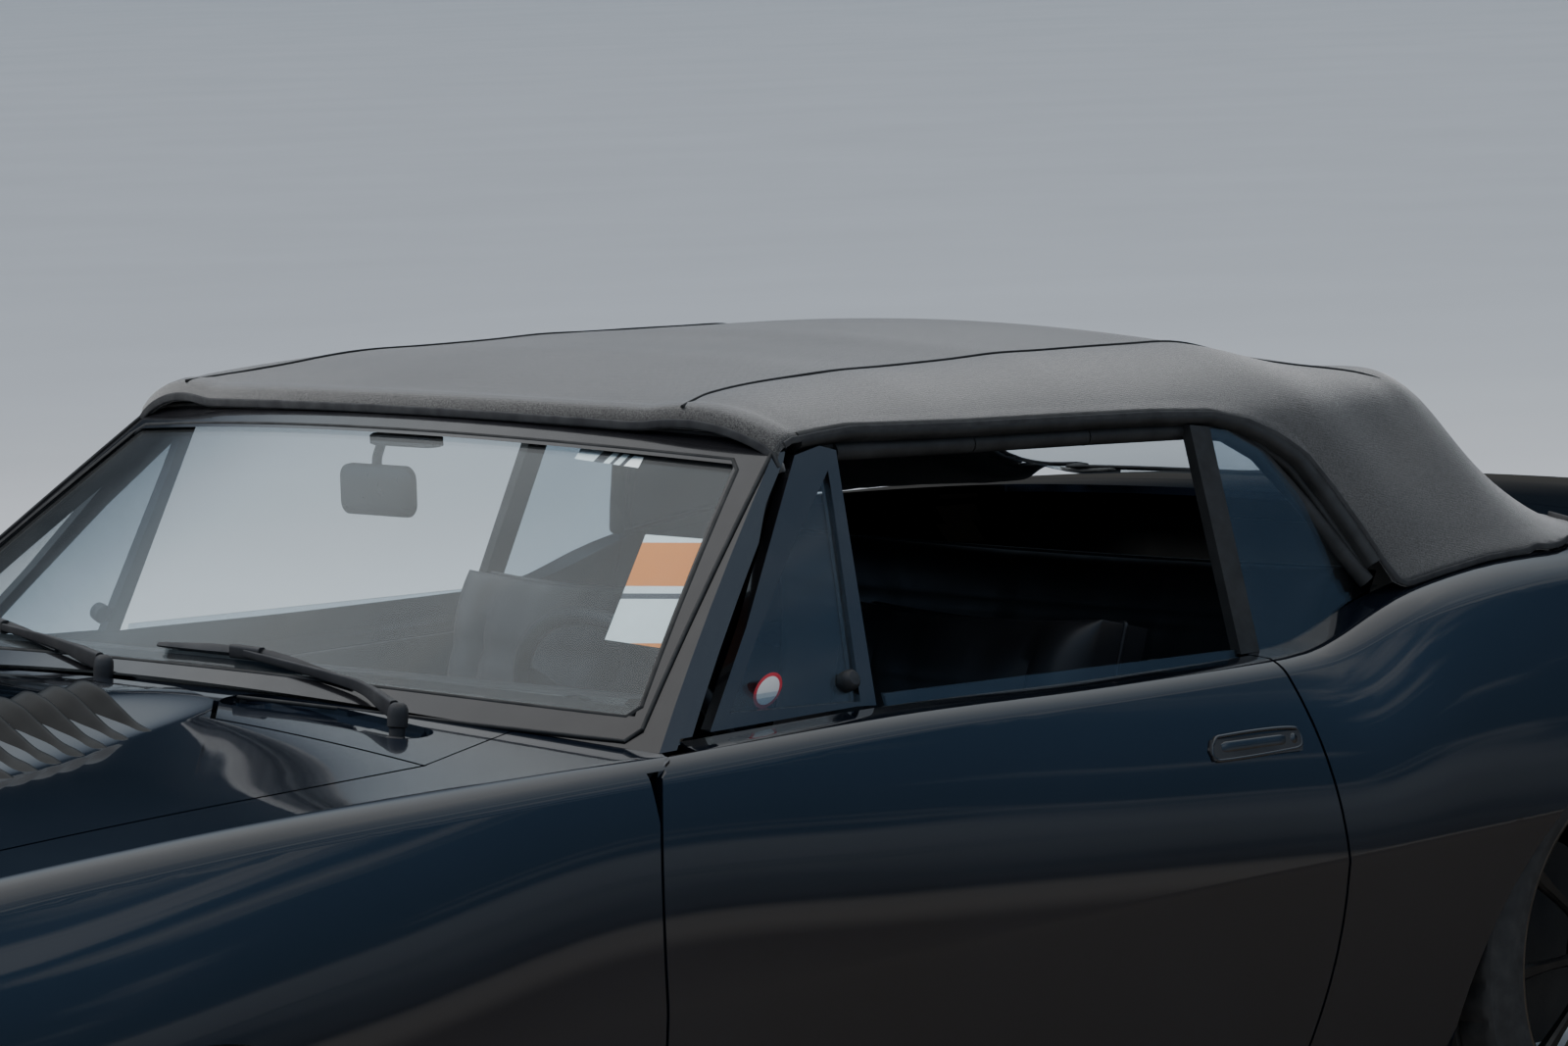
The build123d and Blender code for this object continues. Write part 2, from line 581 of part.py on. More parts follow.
# Inner fenders, the front wheel housings and the radiator support
arch_hole = across(FRONT_AXLE_X, FRONT_ARCH_Z, FRONT_ARCH_R + SHEET, -700, -452.2)
apron = box((-2070, -672), (-690, -440), (330, 750)) - box((-2060, -682), (-700, -452), (300, 738)) - arch_hole
apron = apron - box((-800, -600), (-700, -600), (300, 560)) - box((-1600, -1215), (-460, -438), (225, 560))
liner = across(FRONT_AXLE_X, FRONT_ARCH_Z, FRONT_ARCH_R + SHEET - 0.2, -690, -452.2)
liner = liner - across(FRONT_AXLE_X, FRONT_ARCH_Z, FRONT_ARCH_R, -700, -440)
liner = liner & box((-1900, -900), (-700, -440), (338, 745))
save("inner_fenders", apron, flip(apron))
save("wheel_housings", liner, flip(liner))
support = box((-2200, -2150), (-684, 684), (310, 720)) - box((-2210, -2140), (-340, 340), (350, 690))
support = support - box((-2210, -2140), (-640, -400), (380, 690)) - box((-2210, -2140), (400, 640), (380, 690))
save("radiator_support", support + box((-2155, -2095), (-338, 338), (340, 700)))

# Engine as one plain block, the gearbox and the shaft to the rear axle
save("engine_block", box((-1780, -1010), (-290, 290), (330, 800)))
gearbox = rod((-1010, 0, 400), (-760, 0, 390), 170) & box((-1010, -700), (-172, 172), (240, 476))
gearbox += rod((-770, 0, 370), (-230, 0, 345), 84)
shaft = rod((-230, 0, 345), (1174, 0, 345), 36)
save("drive_line", gearbox, shaft)

# Front subframe with the arms and springs that carry the knuckles
frame_rail = box((-2150, -700), (-400, -335), (215, 300))
subframe = frame_rail + flip(frame_rail) + box((-1480, -1310), (-430, 430), (215, 290))
subframe += box((-2150, -2080), (-400, 400), (215, 290)) + box((-745, -700), (-400, 400), (215, 250))
tower = box((-1465, -1345), (-436, -340), (290, 640))
subframe += tower + flip(tower)
save("front_subframe", subframe)
arms = []
for z, inner_z, spread in ((255, 262, 72), (470, 500, 52)):
    end = (FRONT_AXLE_X, -KNUCKLE_Y + 30, z)
    front = rod((FRONT_AXLE_X - spread, -438, inner_z), end, 13)
    rear = rod((FRONT_AXLE_X + spread, -438, inner_z), end, 13)
    arms.append((front + rear) - box((-1600, -1200), (-436.5, -300), (200, 700)))
save("control_arms", *arms, *[flip(arm) for arm in arms])

# Rear axle with its brake discs, and the leaf springs with the dampers
axle = across(REAR_AXLE_X, REAR_TYRE_R, 42, -690, 690) + Pos(REAR_AXLE_X, 0, REAR_TYRE_R) * Sphere(128)
axle += rod((1181, 0, 345), (REAR_AXLE_X, 0, REAR_TYRE_R), 55)
for y_sign in (-1, 1):
    axle += across(REAR_AXLE_X, REAR_TYRE_R, 150, y_sign * 690 - 9, y_sign * 690 + 9)
save("rear_axle", axle)
leaf = side_prism([(790, 282), (960, 262), (1341, 250), (1720, 270), (1960, 330), (1960, 344), (1720, 286),
                   (1341, 294), (960, 278), (790, 296)], -530, -470)
damper = rod((REAR_AXLE_X + 75, -440, 300), (REAR_AXLE_X + 130, -400, 450), 24)
save("leaf_springs", leaf, flip(leaf), damper, flip(damper))

# Exhaust pipes, mufflers with the tail pipes and their hanger rings, and the fuel tank
down_pipe = tube([(-1000, -298, 290), (-900, -284, 155), (-820, -262, 155), (249.5, -240, 155)], 25)
muffler = box((250, 700), (-330, -150), (120, 184))
muffler += tube([(700, -240, 155), (1080, -240, 180), (1180, -240, 420), (1500, -240, 420), (1600, -420, 215),
                 (2200, -420, 215)], 25)
muffler += rod((1980, -420, 215), (2000, -420, 215), 31)
save("exhaust_pipes", down_pipe, flip(down_pipe))
save("mufflers", muffler, flip(muffler))
save("fuel_tank", box((1680, 2140), (-340, 340), (262, 398)))

# Raised rear floor, luggage floor, the wall behind the seat and the tray that the top folds into
rear_floor = box((711, 723), (-700, 700), (190, 330)) + box((711, 1052.5), (-570, 570), (318, 330))
rear_floor += box((1052.5, 1064), (-570, 570), (318, 498)) + box((1052.5, 1662), (-570, 570), (486, 498))
rear_floor = rear_floor - box((700, 1053), (-120, 120), (180, 401)) - box((1052, 1066), (-108, 108), (300, 388))
luggage = rear_floor + box((1650.5, 1745), (-574, 574), (400, 412)) + box((1745, 2209), (-700, 700), (400, 412))
luggage += box((1650.5, 1662), (-570, 570), (400, 640))
luggage += box((1172, 1184), (-570, 570), (498.2, 652)) + box((1172, 1662), (-570, 570), (640, 652))
luggage += box((1650.5, 1662), (-570, 570), (640, 888))
save("trunk_floor", luggage)

# Seats
def seat(y, half):
    """One front seat: a cushion and a leaning back."""
    cushion = box((-120, 400), (y - half, y + half), (290, 430))
    back = side_prism([(330, 300), (450, 300), (588, 868), (566, 916), (520, 926), (320, 440)], y - half, y + half)
    return cushion + back


save("front_seats", seat(-392, 238), seat(392, 238))
bench = box((720, 1030), (-560, 560), (331, 480))
bench += side_prism([(1000, 498.5), (1160, 498.5), (1160, 640), (1130, 905), (1040, 915), (960, 490)], -560, 560)
save("rear_seat", bench - box((700, 1060), (-124, 124), (300, 401)))
console = box((-129, 600), (-95, 95), (400.5, 475))

# Dashboard, steering wheel and pedals
dash = side_prism([(-600, 700), (-600, 880), (-520, 908), (-400, 895), (-378, 860), (-378, 760), (-420, 660)], -680, 680)
dash = (dash & behind_screen) - frame - box((-480, -300), (-590, -150), (600, 700))
dash = dash - box((-700, -512), (-700, -606), (826, 1000)) - box((-700, -512), (606, 700), (826, 1000))
wheel_dir = Vector(math.cos(math.radians(25)), 0, math.sin(math.radians(25)))
hub = Vector(-180, -370, 798)
column_end = hub - wheel_dir * 30
column = rod(tuple(hub - wheel_dir * 520), tuple(column_end), 26)
save("dashboard", dash + (column - box((-800, -650), (-500, -200), (400, 800))), console)
wheel_plane = Plane(origin=hub, x_dir=(0, 1, 0), z_dir=wheel_dir)
steering = wheel_plane * Torus(185, 13)
steering += wheel_plane * Pos(0, 0, -12) * Cylinder(38, 34)
for angle in (0, 120, 240):
    steering += wheel_plane * Rot(0, 0, angle - 90) * Pos(100, 0, 0) * Box(150, 26, 8)
save("steering_wheel", steering)

# Inside mirror and wipers
with BuildPart() as mirror_body:
    with BuildSketch(Plane.YZ.offset(-240)):
        with Locations((47, 1109)):
            RectangleRounded(143, 70, 18)
    extrude(amount=18, taper=14)
mirror_foot = box((-262, -234), (-96, 34), (1174, 1190))
stem = tube([(-228, 47, 1112), (-226, 50, 1152), (-246, 16, 1180)], 7)
save("inside_mirror", mirror_body.part + stem + mirror_foot)
wipers = []
for pivot_y, pivot_z, near, middle, far in (
    (-524, 874, (-369, 925), (-177, 951), (-11, 952)), (36, 898, (176, 935), (370, 950), (540, 938)),
):
    hub = (WIPER_X, pivot_y, pivot_z)
    cap = rod(hub, (WIPER_X, pivot_y, pivot_z + 30), 24) + Pos(WIPER_X, pivot_y, pivot_z + 30) * Sphere(24)
    elbow = on_screen(pivot_y + 190, (near[1] + pivot_z + 40) / 2 + 8, 30)
    arm = tube([(WIPER_X, pivot_y, pivot_z + 36), elbow, on_screen(*middle, 26)], 6)
    blade = tube([on_screen(*near, 18), on_screen(*middle, 18), on_screen(*far, 18)], 6)
    wipers.append((cap + arm + blade) - outer - frame)
save("wipers", *wipers)

# Wheels: barrel, spokes and hub, with the tyre as a node of its own
def wheel_parts(x, y, z, rim_r, tyre_r, tyre_w):
    """The rim and the tyre of a near-side wheel with its outer face towards -Y."""
    half = tyre_w / 2
    with BuildPart() as rim:
        with BuildSketch(Plane.YZ):
            with BuildLine():
                Polyline(
                    (-half + 8, rim_r), (-half + 8, rim_r - 16), (-half + 30, rim_r - 30), (half - 8, rim_r - 30),
                    (half - 8, rim_r), close=True,
                )
            make_face()
        revolve(axis=Axis.Y)
        with BuildSketch(Plane.YZ):
            with BuildLine():
                Polyline((-half + 22, 0), (-half + 22, 42), (-half + 34, 74), (-half + 70, 74), (-half + 70, 0), close=True)
            make_face()
        revolve(axis=Axis.Y)
    spoke = side_prism([(-13, 60), (13, 60), (8, rim_r - 20), (-8, rim_r - 20)], -half + 20, -half + 48)
    shape = rim.part
    for index in range(10):
        shape += Rot(0, 36 * index, 0) * spoke
    with BuildPart() as tyre:
        with BuildSketch(Plane.YZ):
            with BuildLine():
                Line((-half + 10, rim_r + 0.2), (half - 10, rim_r + 0.2))
                ThreePointArc((half - 10, rim_r + 0.2), (half, (rim_r + tyre_r) / 2), (half - 14, tyre_r - 10))
                Line((half - 14, tyre_r - 10), (half - 34, tyre_r))
                Line((half - 34, tyre_r), (-half + 34, tyre_r))
                Line((-half + 34, tyre_r), (-half + 14, tyre_r - 10))
                ThreePointArc((-half + 14, tyre_r - 10), (-half, (rim_r + tyre_r) / 2), (-half + 10, rim_r + 0.2))
            make_face()
        revolve(axis=Axis.Y)
    place = Pos(x, y, z)
    return place * shape, place * tyre.part


for end, x, y, z, rim_r, tyre_w in (
    ("front", FRONT_AXLE_X, -FRONT_WHEEL_Y, FRONT_TYRE_R, FRONT_RIM_R, FRONT_TYRE_W),
    ("rear", REAR_AXLE_X, -REAR_WHEEL_Y, REAR_TYRE_R, REAR_RIM_R, REAR_TYRE_W),
):
    rim_part, tyre_part = wheel_parts(x, y, z, rim_r, z, tyre_w)
    for side, name in ((0, "left"), (1, "right")):
        save(f"{end}_{name}_wheel", flip(rim_part) if side else rim_part)
        save(f"{end}_{name}_tyre", flip(tyre_part) if side else tyre_part)

# Knuckles with the brake discs
knuckle = rod((FRONT_AXLE_X, -KNUCKLE_Y, 236), (FRONT_AXLE_X, -KNUCKLE_Y, 490), 25)
knuckle += across(FRONT_AXLE_X, FRONT_TYRE_R, 50, -702, -KNUCKLE_Y)
knuckle += across(FRONT_AXLE_X, FRONT_TYRE_R, 155, -722, -700) + across(FRONT_AXLE_X, FRONT_TYRE_R, 34, -770, -690)
knuckle += box((FRONT_AXLE_X + 70, FRONT_AXLE_X + 170), (-732, -684), (280, 380))
for side, name in ((0, "left"), (1, "right")):
    save(f"{name}_knuckle", flip(knuckle) if side else knuckle)
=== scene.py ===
import json
import math

import bmesh
import bpy
import numpy as np
from mathutils import Matrix, Vector


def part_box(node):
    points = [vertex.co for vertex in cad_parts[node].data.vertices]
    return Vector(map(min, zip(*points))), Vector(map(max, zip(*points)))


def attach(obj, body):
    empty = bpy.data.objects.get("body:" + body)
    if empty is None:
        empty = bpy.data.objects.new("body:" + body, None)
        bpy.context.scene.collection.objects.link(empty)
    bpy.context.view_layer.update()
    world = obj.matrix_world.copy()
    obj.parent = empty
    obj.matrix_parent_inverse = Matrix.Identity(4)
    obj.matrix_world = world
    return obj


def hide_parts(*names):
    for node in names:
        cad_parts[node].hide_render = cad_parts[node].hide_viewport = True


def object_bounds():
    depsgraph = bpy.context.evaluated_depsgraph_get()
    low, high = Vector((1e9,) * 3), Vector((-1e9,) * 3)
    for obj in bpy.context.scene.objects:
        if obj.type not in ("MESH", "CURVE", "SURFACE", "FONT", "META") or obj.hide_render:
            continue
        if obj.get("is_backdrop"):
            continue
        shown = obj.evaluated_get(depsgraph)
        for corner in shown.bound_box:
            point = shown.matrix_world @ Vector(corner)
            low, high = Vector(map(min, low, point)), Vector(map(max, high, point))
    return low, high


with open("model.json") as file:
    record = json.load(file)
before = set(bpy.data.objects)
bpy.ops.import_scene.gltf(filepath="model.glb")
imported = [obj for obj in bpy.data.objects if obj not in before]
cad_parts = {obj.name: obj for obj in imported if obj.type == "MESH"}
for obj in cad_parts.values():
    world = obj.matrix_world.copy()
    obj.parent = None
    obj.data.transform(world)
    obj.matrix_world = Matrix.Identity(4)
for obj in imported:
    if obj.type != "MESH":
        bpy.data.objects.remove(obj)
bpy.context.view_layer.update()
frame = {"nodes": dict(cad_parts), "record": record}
NODES = frame["nodes"]
SLOT_OF = {part["node"]: part["material_slot"] for part in frame["record"]["subparts"]}
BODY_OF = {node: body for body, nodes in frame["record"]["behaviour"]["bodies"].items() for node in nodes}
MM, METRE = 0.001, 1000  # Shapes below are in mm, Blender's meshes in metres


# Materials

class Nodes:
    """Short calls to build a node tree. An input is a number, a colour or another node's output."""

    def __init__(self, tree, coordinates):
        self.tree = tree
        self.at = self.add("TexCoord", coordinates)

    def fill(self, node, inputs):
        for key, value in inputs.items():
            socket = node.inputs[key]
            if isinstance(value, bpy.types.NodeSocket):
                self.tree.links.new(value, socket)
            elif value is not None and socket.type == "RGBA":
                socket.default_value = (*(value if isinstance(value, tuple) else 3 * (value,)), 1)
            elif value is not None:
                socket.default_value = value

    def add(self, kind, out, inputs=None, **settings):
        """A new node with its settings and inputs. Returns its output called out."""
        node = self.tree.nodes.new("ShaderNode" + kind)
        for key, value in settings.items():
            setattr(node, key, value)
        self.fill(node, inputs or {})
        return node.outputs[out]

    def noise(self, scale, detail=3.0, rough=0.5, vector=None, distortion=0.0):
        return self.add("TexNoise", "Fac", {
            "Vector": vector or self.at, "Scale": scale, "Detail": detail, "Roughness": rough,
            "Distortion": distortion})

    def range(self, value, low, high, from_low=0.3, from_high=0.7, **settings):
        return self.add("MapRange", "Result", {
            "Value": value, "From Min": from_low, "From Max": from_high, "To Min": low, "To Max": high}, **settings)

    def mix(self, factor, one, two, **settings):
        return self.add("Mix", "Result", {"Factor": factor, "A": one, "B": two}, data_type="RGBA", **settings)

    def patches(self, scale, detail, low, high):
        """A value that wanders from low to high in patches."""
        return self.range(self.noise(scale, detail), low, high)

    def tones(self, scale, detail, one, two):
        """A colour that wanders between two in patches."""
        return self.mix(self.patches(scale, detail, 0, 1), one, two)

    def math(self, operation, one, two=0.0):
        return self.add("Math", "Value", {0: one, 1: two}, operation=operation)

    def axes(self):
        return self.add("SeparateXYZ", "X", {"Vector": self.at}).node.outputs

    def bump(self, height, strength, distance, before=None):
        return self.add("Bump", "Normal", {
            "Height": height, "Strength": strength, "Distance": distance, "Normal": before})


class Material(Nodes):
    def __init__(self, name):
        self.made = bpy.data.materials.new(name)
        self.made.use_nodes = True
        super().__init__(self.made.node_tree, "Object")

    def finish(self, colour, rough, normal=None, **shader):
        inputs = {key.replace("_", " "): value for key, value in shader.items()}
        inputs.update({"Base Color": colour, "Roughness": rough, "Normal": normal})
        self.fill(self.tree.nodes["Principled BSDF"], inputs)
        return self.made


def worn(name, dark, light, rough, metal=0.0, scale=30.0, bump=0.0, bump_scale=400.0, coat=0.0, **shader):
    """A surface with soft patches of colour and roughness, and fine grain."""
    n = Material(name)
    grain = n.bump(n.noise(bump_scale, 4), bump, 0.0005) if bump else None
    return n.finish(n.tones(scale, 5, dark, light), n.patches(scale * 1.7, 4, *rough), grain,
                    Metallic=metal, Coat_Weight=coat, **shader)


def paint():
    """Near-black gloss paint under a clear coat, each with its own faint orange peel."""
    n = Material("gloss_black_paint")
    colour = n.tones(2.2, 3, (0.0022, 0.0034, 0.0062), (0.0034, 0.0050, 0.0088))
    rough = n.range(n.noise(9.0, 5, 0.6), 0.10, 0.17)
    return n.finish(colour, rough, n.bump(n.noise(190.0, 2), 0.012, 0.0006), Specular_IOR_Level=0.06,
                    Coat_Normal=n.bump(n.noise(260.0, 2), 0.008, 0.0005),
                    Coat_Weight=1.0, Coat_Roughness=0.012, Coat_IOR=1.6)


def canvas():
    """Grey cloth: a plain weave with slubs and flecks, and broad soft patches."""
    n = Material("grey_canvas")
    thread_pitch = 0.0021
    x, y, z = [n.math("SINE", n.math("MULTIPLY", axis, 2 * math.pi / thread_pitch)) for axis in n.axes()]
    threads = n.math("ADD", n.math("MULTIPLY", x, y), n.math("MULTIPLY", z, 0.5))
    slub = n.noise(420.0, 4, 0.65)
    flecks = n.mix(n.range(n.noise(560.0, 3, 0.65), 0, 1, 0.36, 0.66), (0.016, 0.016, 0.0165), (0.076, 0.075, 0.073))
    colour = n.mix(1.0, flecks, n.patches(3.5, 4, 0.82, 1.12), blend_type="MULTIPLY")
    return n.finish(colour, n.range(slub, 0.86, 0.98), n.bump(threads, 0.3, 0.0004, n.bump(slub, 0.6, 0.0008)),
                    Sheen_Weight=0.38, Sheen_Roughness=0.45, Specular_IOR_Level=0.12)


def vinyl():
    n = Material("seat_vinyl")
    grain = n.add("TexVoronoi", "Distance", {"Vector": n.at, "Scale": 420.0}, feature="DISTANCE_TO_EDGE")
    return n.finish(n.tones(8.0, 4, (0.008, 0.008, 0.009), (0.020, 0.020, 0.022)), n.patches(14.0, 4, 0.36, 0.52),
                    n.bump(grain, 0.25, 0.0006), Specular_IOR_Level=0.4)


def tread_rubber():
    n = Material("tyre_rubber")
    return n.finish(n.tones(40.0, 5, 0.010, (0.024, 0.023, 0.022)), n.patches(60.0, 4, 0.62, 0.8),
                    n.bump(n.noise(700.0, 3), 0.3, 0.0005))


def glass(name, tint, film=0.0):
    """Clear glass that lets light straight through, with a faint film of dust, denser by film."""
    n = Material(name)
    clear = n.add("BsdfTransparent", "BSDF", {"Color": n.tones(3.0, 3, tint, tuple(0.97 * t for t in tint))})
    gloss = n.add("BsdfGlossy", "BSDF", {"Roughness": n.patches(30.0, 4, 0.0, 0.02)})
    facing = n.add("LayerWeight", "Facing", {"Blend": 0.5})
    shine = n.math("ADD", n.math("MULTIPLY", n.math("POWER", facing, 4.5), 0.94), 0.06)
    pane = n.add("MixShader", "Shader", {"Fac": shine, 1: clear, 2: gloss})
    dust = n.add("BsdfDiffuse", "BSDF", {"Color": (0.55, 0.58, 0.6)})
    dusty = n.add("MixShader", "Shader", {"Fac": n.patches(6.0, 5, 0.002 + film, 0.012 + film), 1: pane, 2: dust})
    n.fill(n.tree.nodes["Material Output"], {"Surface": dusty})
    return n.made


def lens(name, dark, light):
    """Fluted lamp glass."""
    n = Material(name)
    flutes = n.add("TexWave", "Fac", {"Vector": n.at, "Scale": 28.0}, bands_direction="Y")
    return n.finish(n.tones(60.0, 3, dark, light), n.patches(50.0, 3, 0.05, 0.10), n.bump(flutes, 0.4, 0.002),
                    Coat_Weight=1.0, Coat_Roughness=0.02, Specular_IOR_Level=0.6)


def banded(name, axis, bands):
    """A pale sticker with coloured bands across one object axis. Bands are (start, end, colour) in metres."""
    n = Material(name)
    at, pale = n.axes()[axis], (0.80, 0.79, 0.76)
    colour = n.tones(50.0, 3, pale, tuple(0.94 * c for c in pale))
    for start, end, tint in bands:
        inside = n.math("MULTIPLY", n.math("GREATER_THAN", at, start), n.math("LESS_THAN", at, end))
        colour = n.mix(inside, colour, tint)
    return n.finish(colour, n.patches(30.0, 3, 0.4, 0.55))


PAINT, CANVAS, VINYL, TYRE = paint(), canvas(), vinyl(), tread_rubber()
GLASS = glass("window_glass", (0.86, 0.90, 0.91))
TINTED = glass("side_glass", (0.80, 0.85, 0.88))
SCREEN = glass("clear_screen", (0.86, 0.91, 0.93), 0.006)
HEADLAMP = lens("headlamp_glass", (0.42, 0.43, 0.44), (0.62, 0.63, 0.64))
TAILLAMP = lens("tail_lamp_lens", (0.16, 0.004, 0.004), (0.30, 0.010, 0.008))
# Dark and light colour (one number is a grey), roughness from and to, metal, patch scale, grain, grain scale
# The seam material also serves as the louvres' painted gap shade
SEAM_AND_GAP_SHADE = worn("canvas_seam", 0.006, 0.014, (0.8, 0.95), 0.0, 30, 0.4, 1500)
PIPING = worn("canvas_binding", (0.016, 0.016, 0.017), (0.034, 0.034, 0.035), (0.75, 0.92), 0.0, 40, 0.6, 1600)
SATIN = worn("satin_black", (0.010, 0.010, 0.011), (0.020, 0.020, 0.021), (0.34, 0.46), 0.0, 12, 0.15, 900)
TRIM = worn("black_plastic", (0.012, 0.012, 0.013), (0.024, 0.024, 0.025), (0.45, 0.60), 0.0, 20, 0.35, 1200)
RUBBER = worn("seal_rubber", 0.008, 0.018, (0.55, 0.75), 0.0, 25, 0.3, 900)
UNDER = worn("underbody_paint", 0.012, (0.035, 0.033, 0.030), (0.6, 0.85), 0.0, 6, 0.5, 300)
IRON = worn("cast_iron", (0.05, 0.045, 0.04), (0.11, 0.10, 0.09), (0.5, 0.75), 0.6, 18, 0.6, 250)
STEEL = worn("steel_pipe", (0.28, 0.27, 0.26), (0.45, 0.44, 0.42), (0.3, 0.5), 1.0, 14, 0.2, 500)
RIM = worn("bronze_grey_rim", (0.060, 0.054, 0.047), (0.095, 0.086, 0.076), (0.28, 0.38), 0.85, 18, 0.1, 900, coat=0.3)
DARK_RIM = worn("dark_rim_centre", 0.010, (0.022, 0.021, 0.020), (0.3, 0.42), 0.5, 18, 0.1, 900)
MIRROR = worn("mirror_case", (0.012, 0.012, 0.013), (0.02, 0.02, 0.021), (0.18, 0.28), 0.0, 20, 0.1, 900, coat=0.4)
LOUVRE = worn("louvre_black", (0.0025, 0.0028, 0.003), (0.005, 0.0055, 0.006), (0.30, 0.42), 0.0, 20, 0.05, 900,
              Specular_IOR_Level=0.22)
GLOSS = worn("gloss_trim", (0.004, 0.004, 0.005), (0.008, 0.008, 0.009), (0.10, 0.18), 0.0, 20, 0.05, 900, coat=0.8)

BY_SLOT = {
    "black_paint": PAINT, "satin_black": SATIN, "under_black": UNDER, "black_plastic": TRIM, "seat_vinyl": VINYL,
    "canvas": CANVAS, "rubber": RUBBER, "tyre": TYRE, "rim_metal": RIM, "glass": GLASS, "lamp_glass": HEADLAMP,
    "red_lens": TAILLAMP, "iron": IRON, "steel": STEEL, "mirror_black": MIRROR,
}
OTHER_LOOKS = {
    "left_door_glass": TINTED, "right_door_glass": TINTED, "quarter_windows": TINTED, "windshield": SCREEN,
    "windshield_frame": GLOSS, "left_vent_frame": GLOSS, "right_vent_frame": GLOSS,
}


def dress(obj, material):
    obj.data.materials.clear()
    obj.data.materials.append(material)


for name, obj in NODES.items():
    dress(obj, OTHER_LOOKS.get(name) or BY_SLOT[SLOT_OF[name]])


# Pieces made in mesh code

def place(name, mesh, material, slot, body, nodes):
    """A piece that rides on a body and stands for CAD nodes. Its slot is not used."""
    obj = bpy.data.objects.new(name, mesh)
    bpy.context.scene.collection.objects.link(obj)
    dress(obj, material)
    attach(obj, body)
    if nodes:
        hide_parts(*nodes)
    return obj


def piece(name, shape, material, slot, body="shell", nodes=(), sharp=38.0):
    """A piece from a shape in mm, smooth but for its edges sharper than that many degrees."""
    mesh = bpy.data.meshes.new(name)
    mesh.from_pydata([tuple(float(c) * MM for c in p) for p in shape.points], [], shape.faces)
    mesh.validate()
    mesh.polygons.foreach_set("use_smooth", [True] * len(mesh.polygons))
    mesh.set_sharp_from_angle(angle=math.radians(sharp))
    return place(name, mesh, material, slot, body, nodes)


def grid_faces(rows, columns, close_rows=False, close_columns=False):
    faces = []
    for i in range(rows - (not close_rows)):
        for j in range(columns - (not close_columns)):
            here, below = i * columns, (i + 1) % rows * columns
            faces.append((here + j, here + (j + 1) % columns, below + (j + 1) % columns, below + j))
    return faces


def reversed_faces(faces):
    return [tuple(reversed(f)) for f in faces]


def flat(rows):
    return [p for row in rows for p in row]


def norm(v):
    """A vector, or each row of vectors, at length 1."""
    v = np.asarray(v, float)
    return v / np.maximum(np.linalg.norm(v, axis=-1, keepdims=True), 1e-9)


class Shape:
    """Points and faces that gather into one piece."""

    def __init__(self, points=(), faces=()):
        self.points, self.faces = [], []
        self.add(points, faces)

    def add(self, points, faces):
        start = len(self.points)
        self.points.extend([tuple(p) for p in points])
        self.faces.extend([tuple(start + i for i in f) for f in faces])
        return self

    def skin(self, rings, close=False):
        """Rings of the same count joined one after another, closed to a loop or with capped ends."""
        rows, columns = len(rings), len(rings[0])
        faces = grid_faces(rows, columns, close, True)
        if not close:
            faces += [tuple(range(columns - 1, -1, -1)), tuple((rows - 1) * columns + i for i in range(columns))]
        return self.add(flat(rings), faces)

    def sweep(self, path, profile, up=(0, 0, 1), scale=None, closed=False):
        """A profile of (across, up) offsets along a path, its up side kept near the given direction."""
        path, rings, last = np.asarray(path, float), [], len(path) - 1
        for i, p in enumerate(path):
            before, after = (i - 1, (i + 1) % (last + 1)) if closed else (max(i - 1, 0), min(i + 1, last))
            along = norm(path[after] - path[before])
            across = norm(np.cross(up[i] if np.ndim(up) == 2 else up, along))
            lift = np.cross(along, across)
            k = 1.0 if scale is None else scale[i]
            rings.append([p + across * a * k + lift * b * k for a, b in profile])
        return self.skin(rings, closed)

    def turn(self, centre, axis, profile, count=48):
        """A body of revolution about an axis. Profile points are (radius, distance along the axis)."""
        axis = norm(axis)
        side = norm(np.cross(axis, (0, 0, 1) if abs(axis[2]) < 0.9 else (1, 0, 0)))
        other, rings = np.cross(axis, side), []
        for k in range(count):
            a = 2 * math.pi * k / count
            way = side * math.cos(a) + other * math.sin(a)
            rings.append([np.asarray(centre, float) + way * r + axis * t for r, t in profile])
        return self.add(flat(rings), grid_faces(count, len(profile), True))

    def both(self):
        """The same again on the car's other side."""
        return self.add([(x, -y, z) for x, y, z in self.points], reversed_faces(self.faces))


def circle(r, count=10):
    turns = [2 * math.pi * i / count for i in range(count)]
    return [(r * math.cos(a), r * math.sin(a)) for a in turns]


def rounded(width, height, r, count=3):
    """A rounded rectangle's outline about its middle."""
    out = []
    for cx, cy, start in ((1, 1, 0), (-1, 1, 90), (-1, -1, 180), (1, -1, 270)):
        for k in range(count + 1):
            a = math.radians(start + 90 * k / count)
            out.append((cx * (width / 2 - r) + r * math.cos(a), cy * (height / 2 - r) + r * math.sin(a)))
    return out


# Curves

def pchip(xs, ys, at):
    """A monotone cubic curve through the points (xs, ys), read at the values at, with straight ends."""
    xs, ys, at = np.asarray(xs, float), np.asarray(ys, float), np.asarray(at, float)
    h = np.diff(xs)
    d = np.diff(ys) / h
    m = np.zeros_like(ys)
    for i in range(1, len(xs) - 1):
        if d[i - 1] * d[i] > 0:
            w1, w2 = 2 * h[i] + h[i - 1], h[i] + 2 * h[i - 1]
            m[i] = (w1 + w2) / (w1 / d[i - 1] + w2 / d[i])
    m[0], m[-1] = d[0], d[-1]
    k = np.clip(np.searchsorted(xs, at) - 1, 0, len(xs) - 2)
    t = (at - xs[k]) / h[k]
    t2, t3 = t * t, t * t * t
    value = (2 * t3 - 3 * t2 + 1) * ys[k] + (t3 - 2 * t2 + t) * h[k] * m[k]
    value += (-2 * t3 + 3 * t2) * ys[k + 1] + (t3 - t2) * h[k] * m[k + 1]
    value = np.where(t < 0, ys[k] + m[k] * (at - xs[k]), value)
    return np.where(t > 1, ys[k + 1] + m[k + 1] * (at - xs[k + 1]), value)


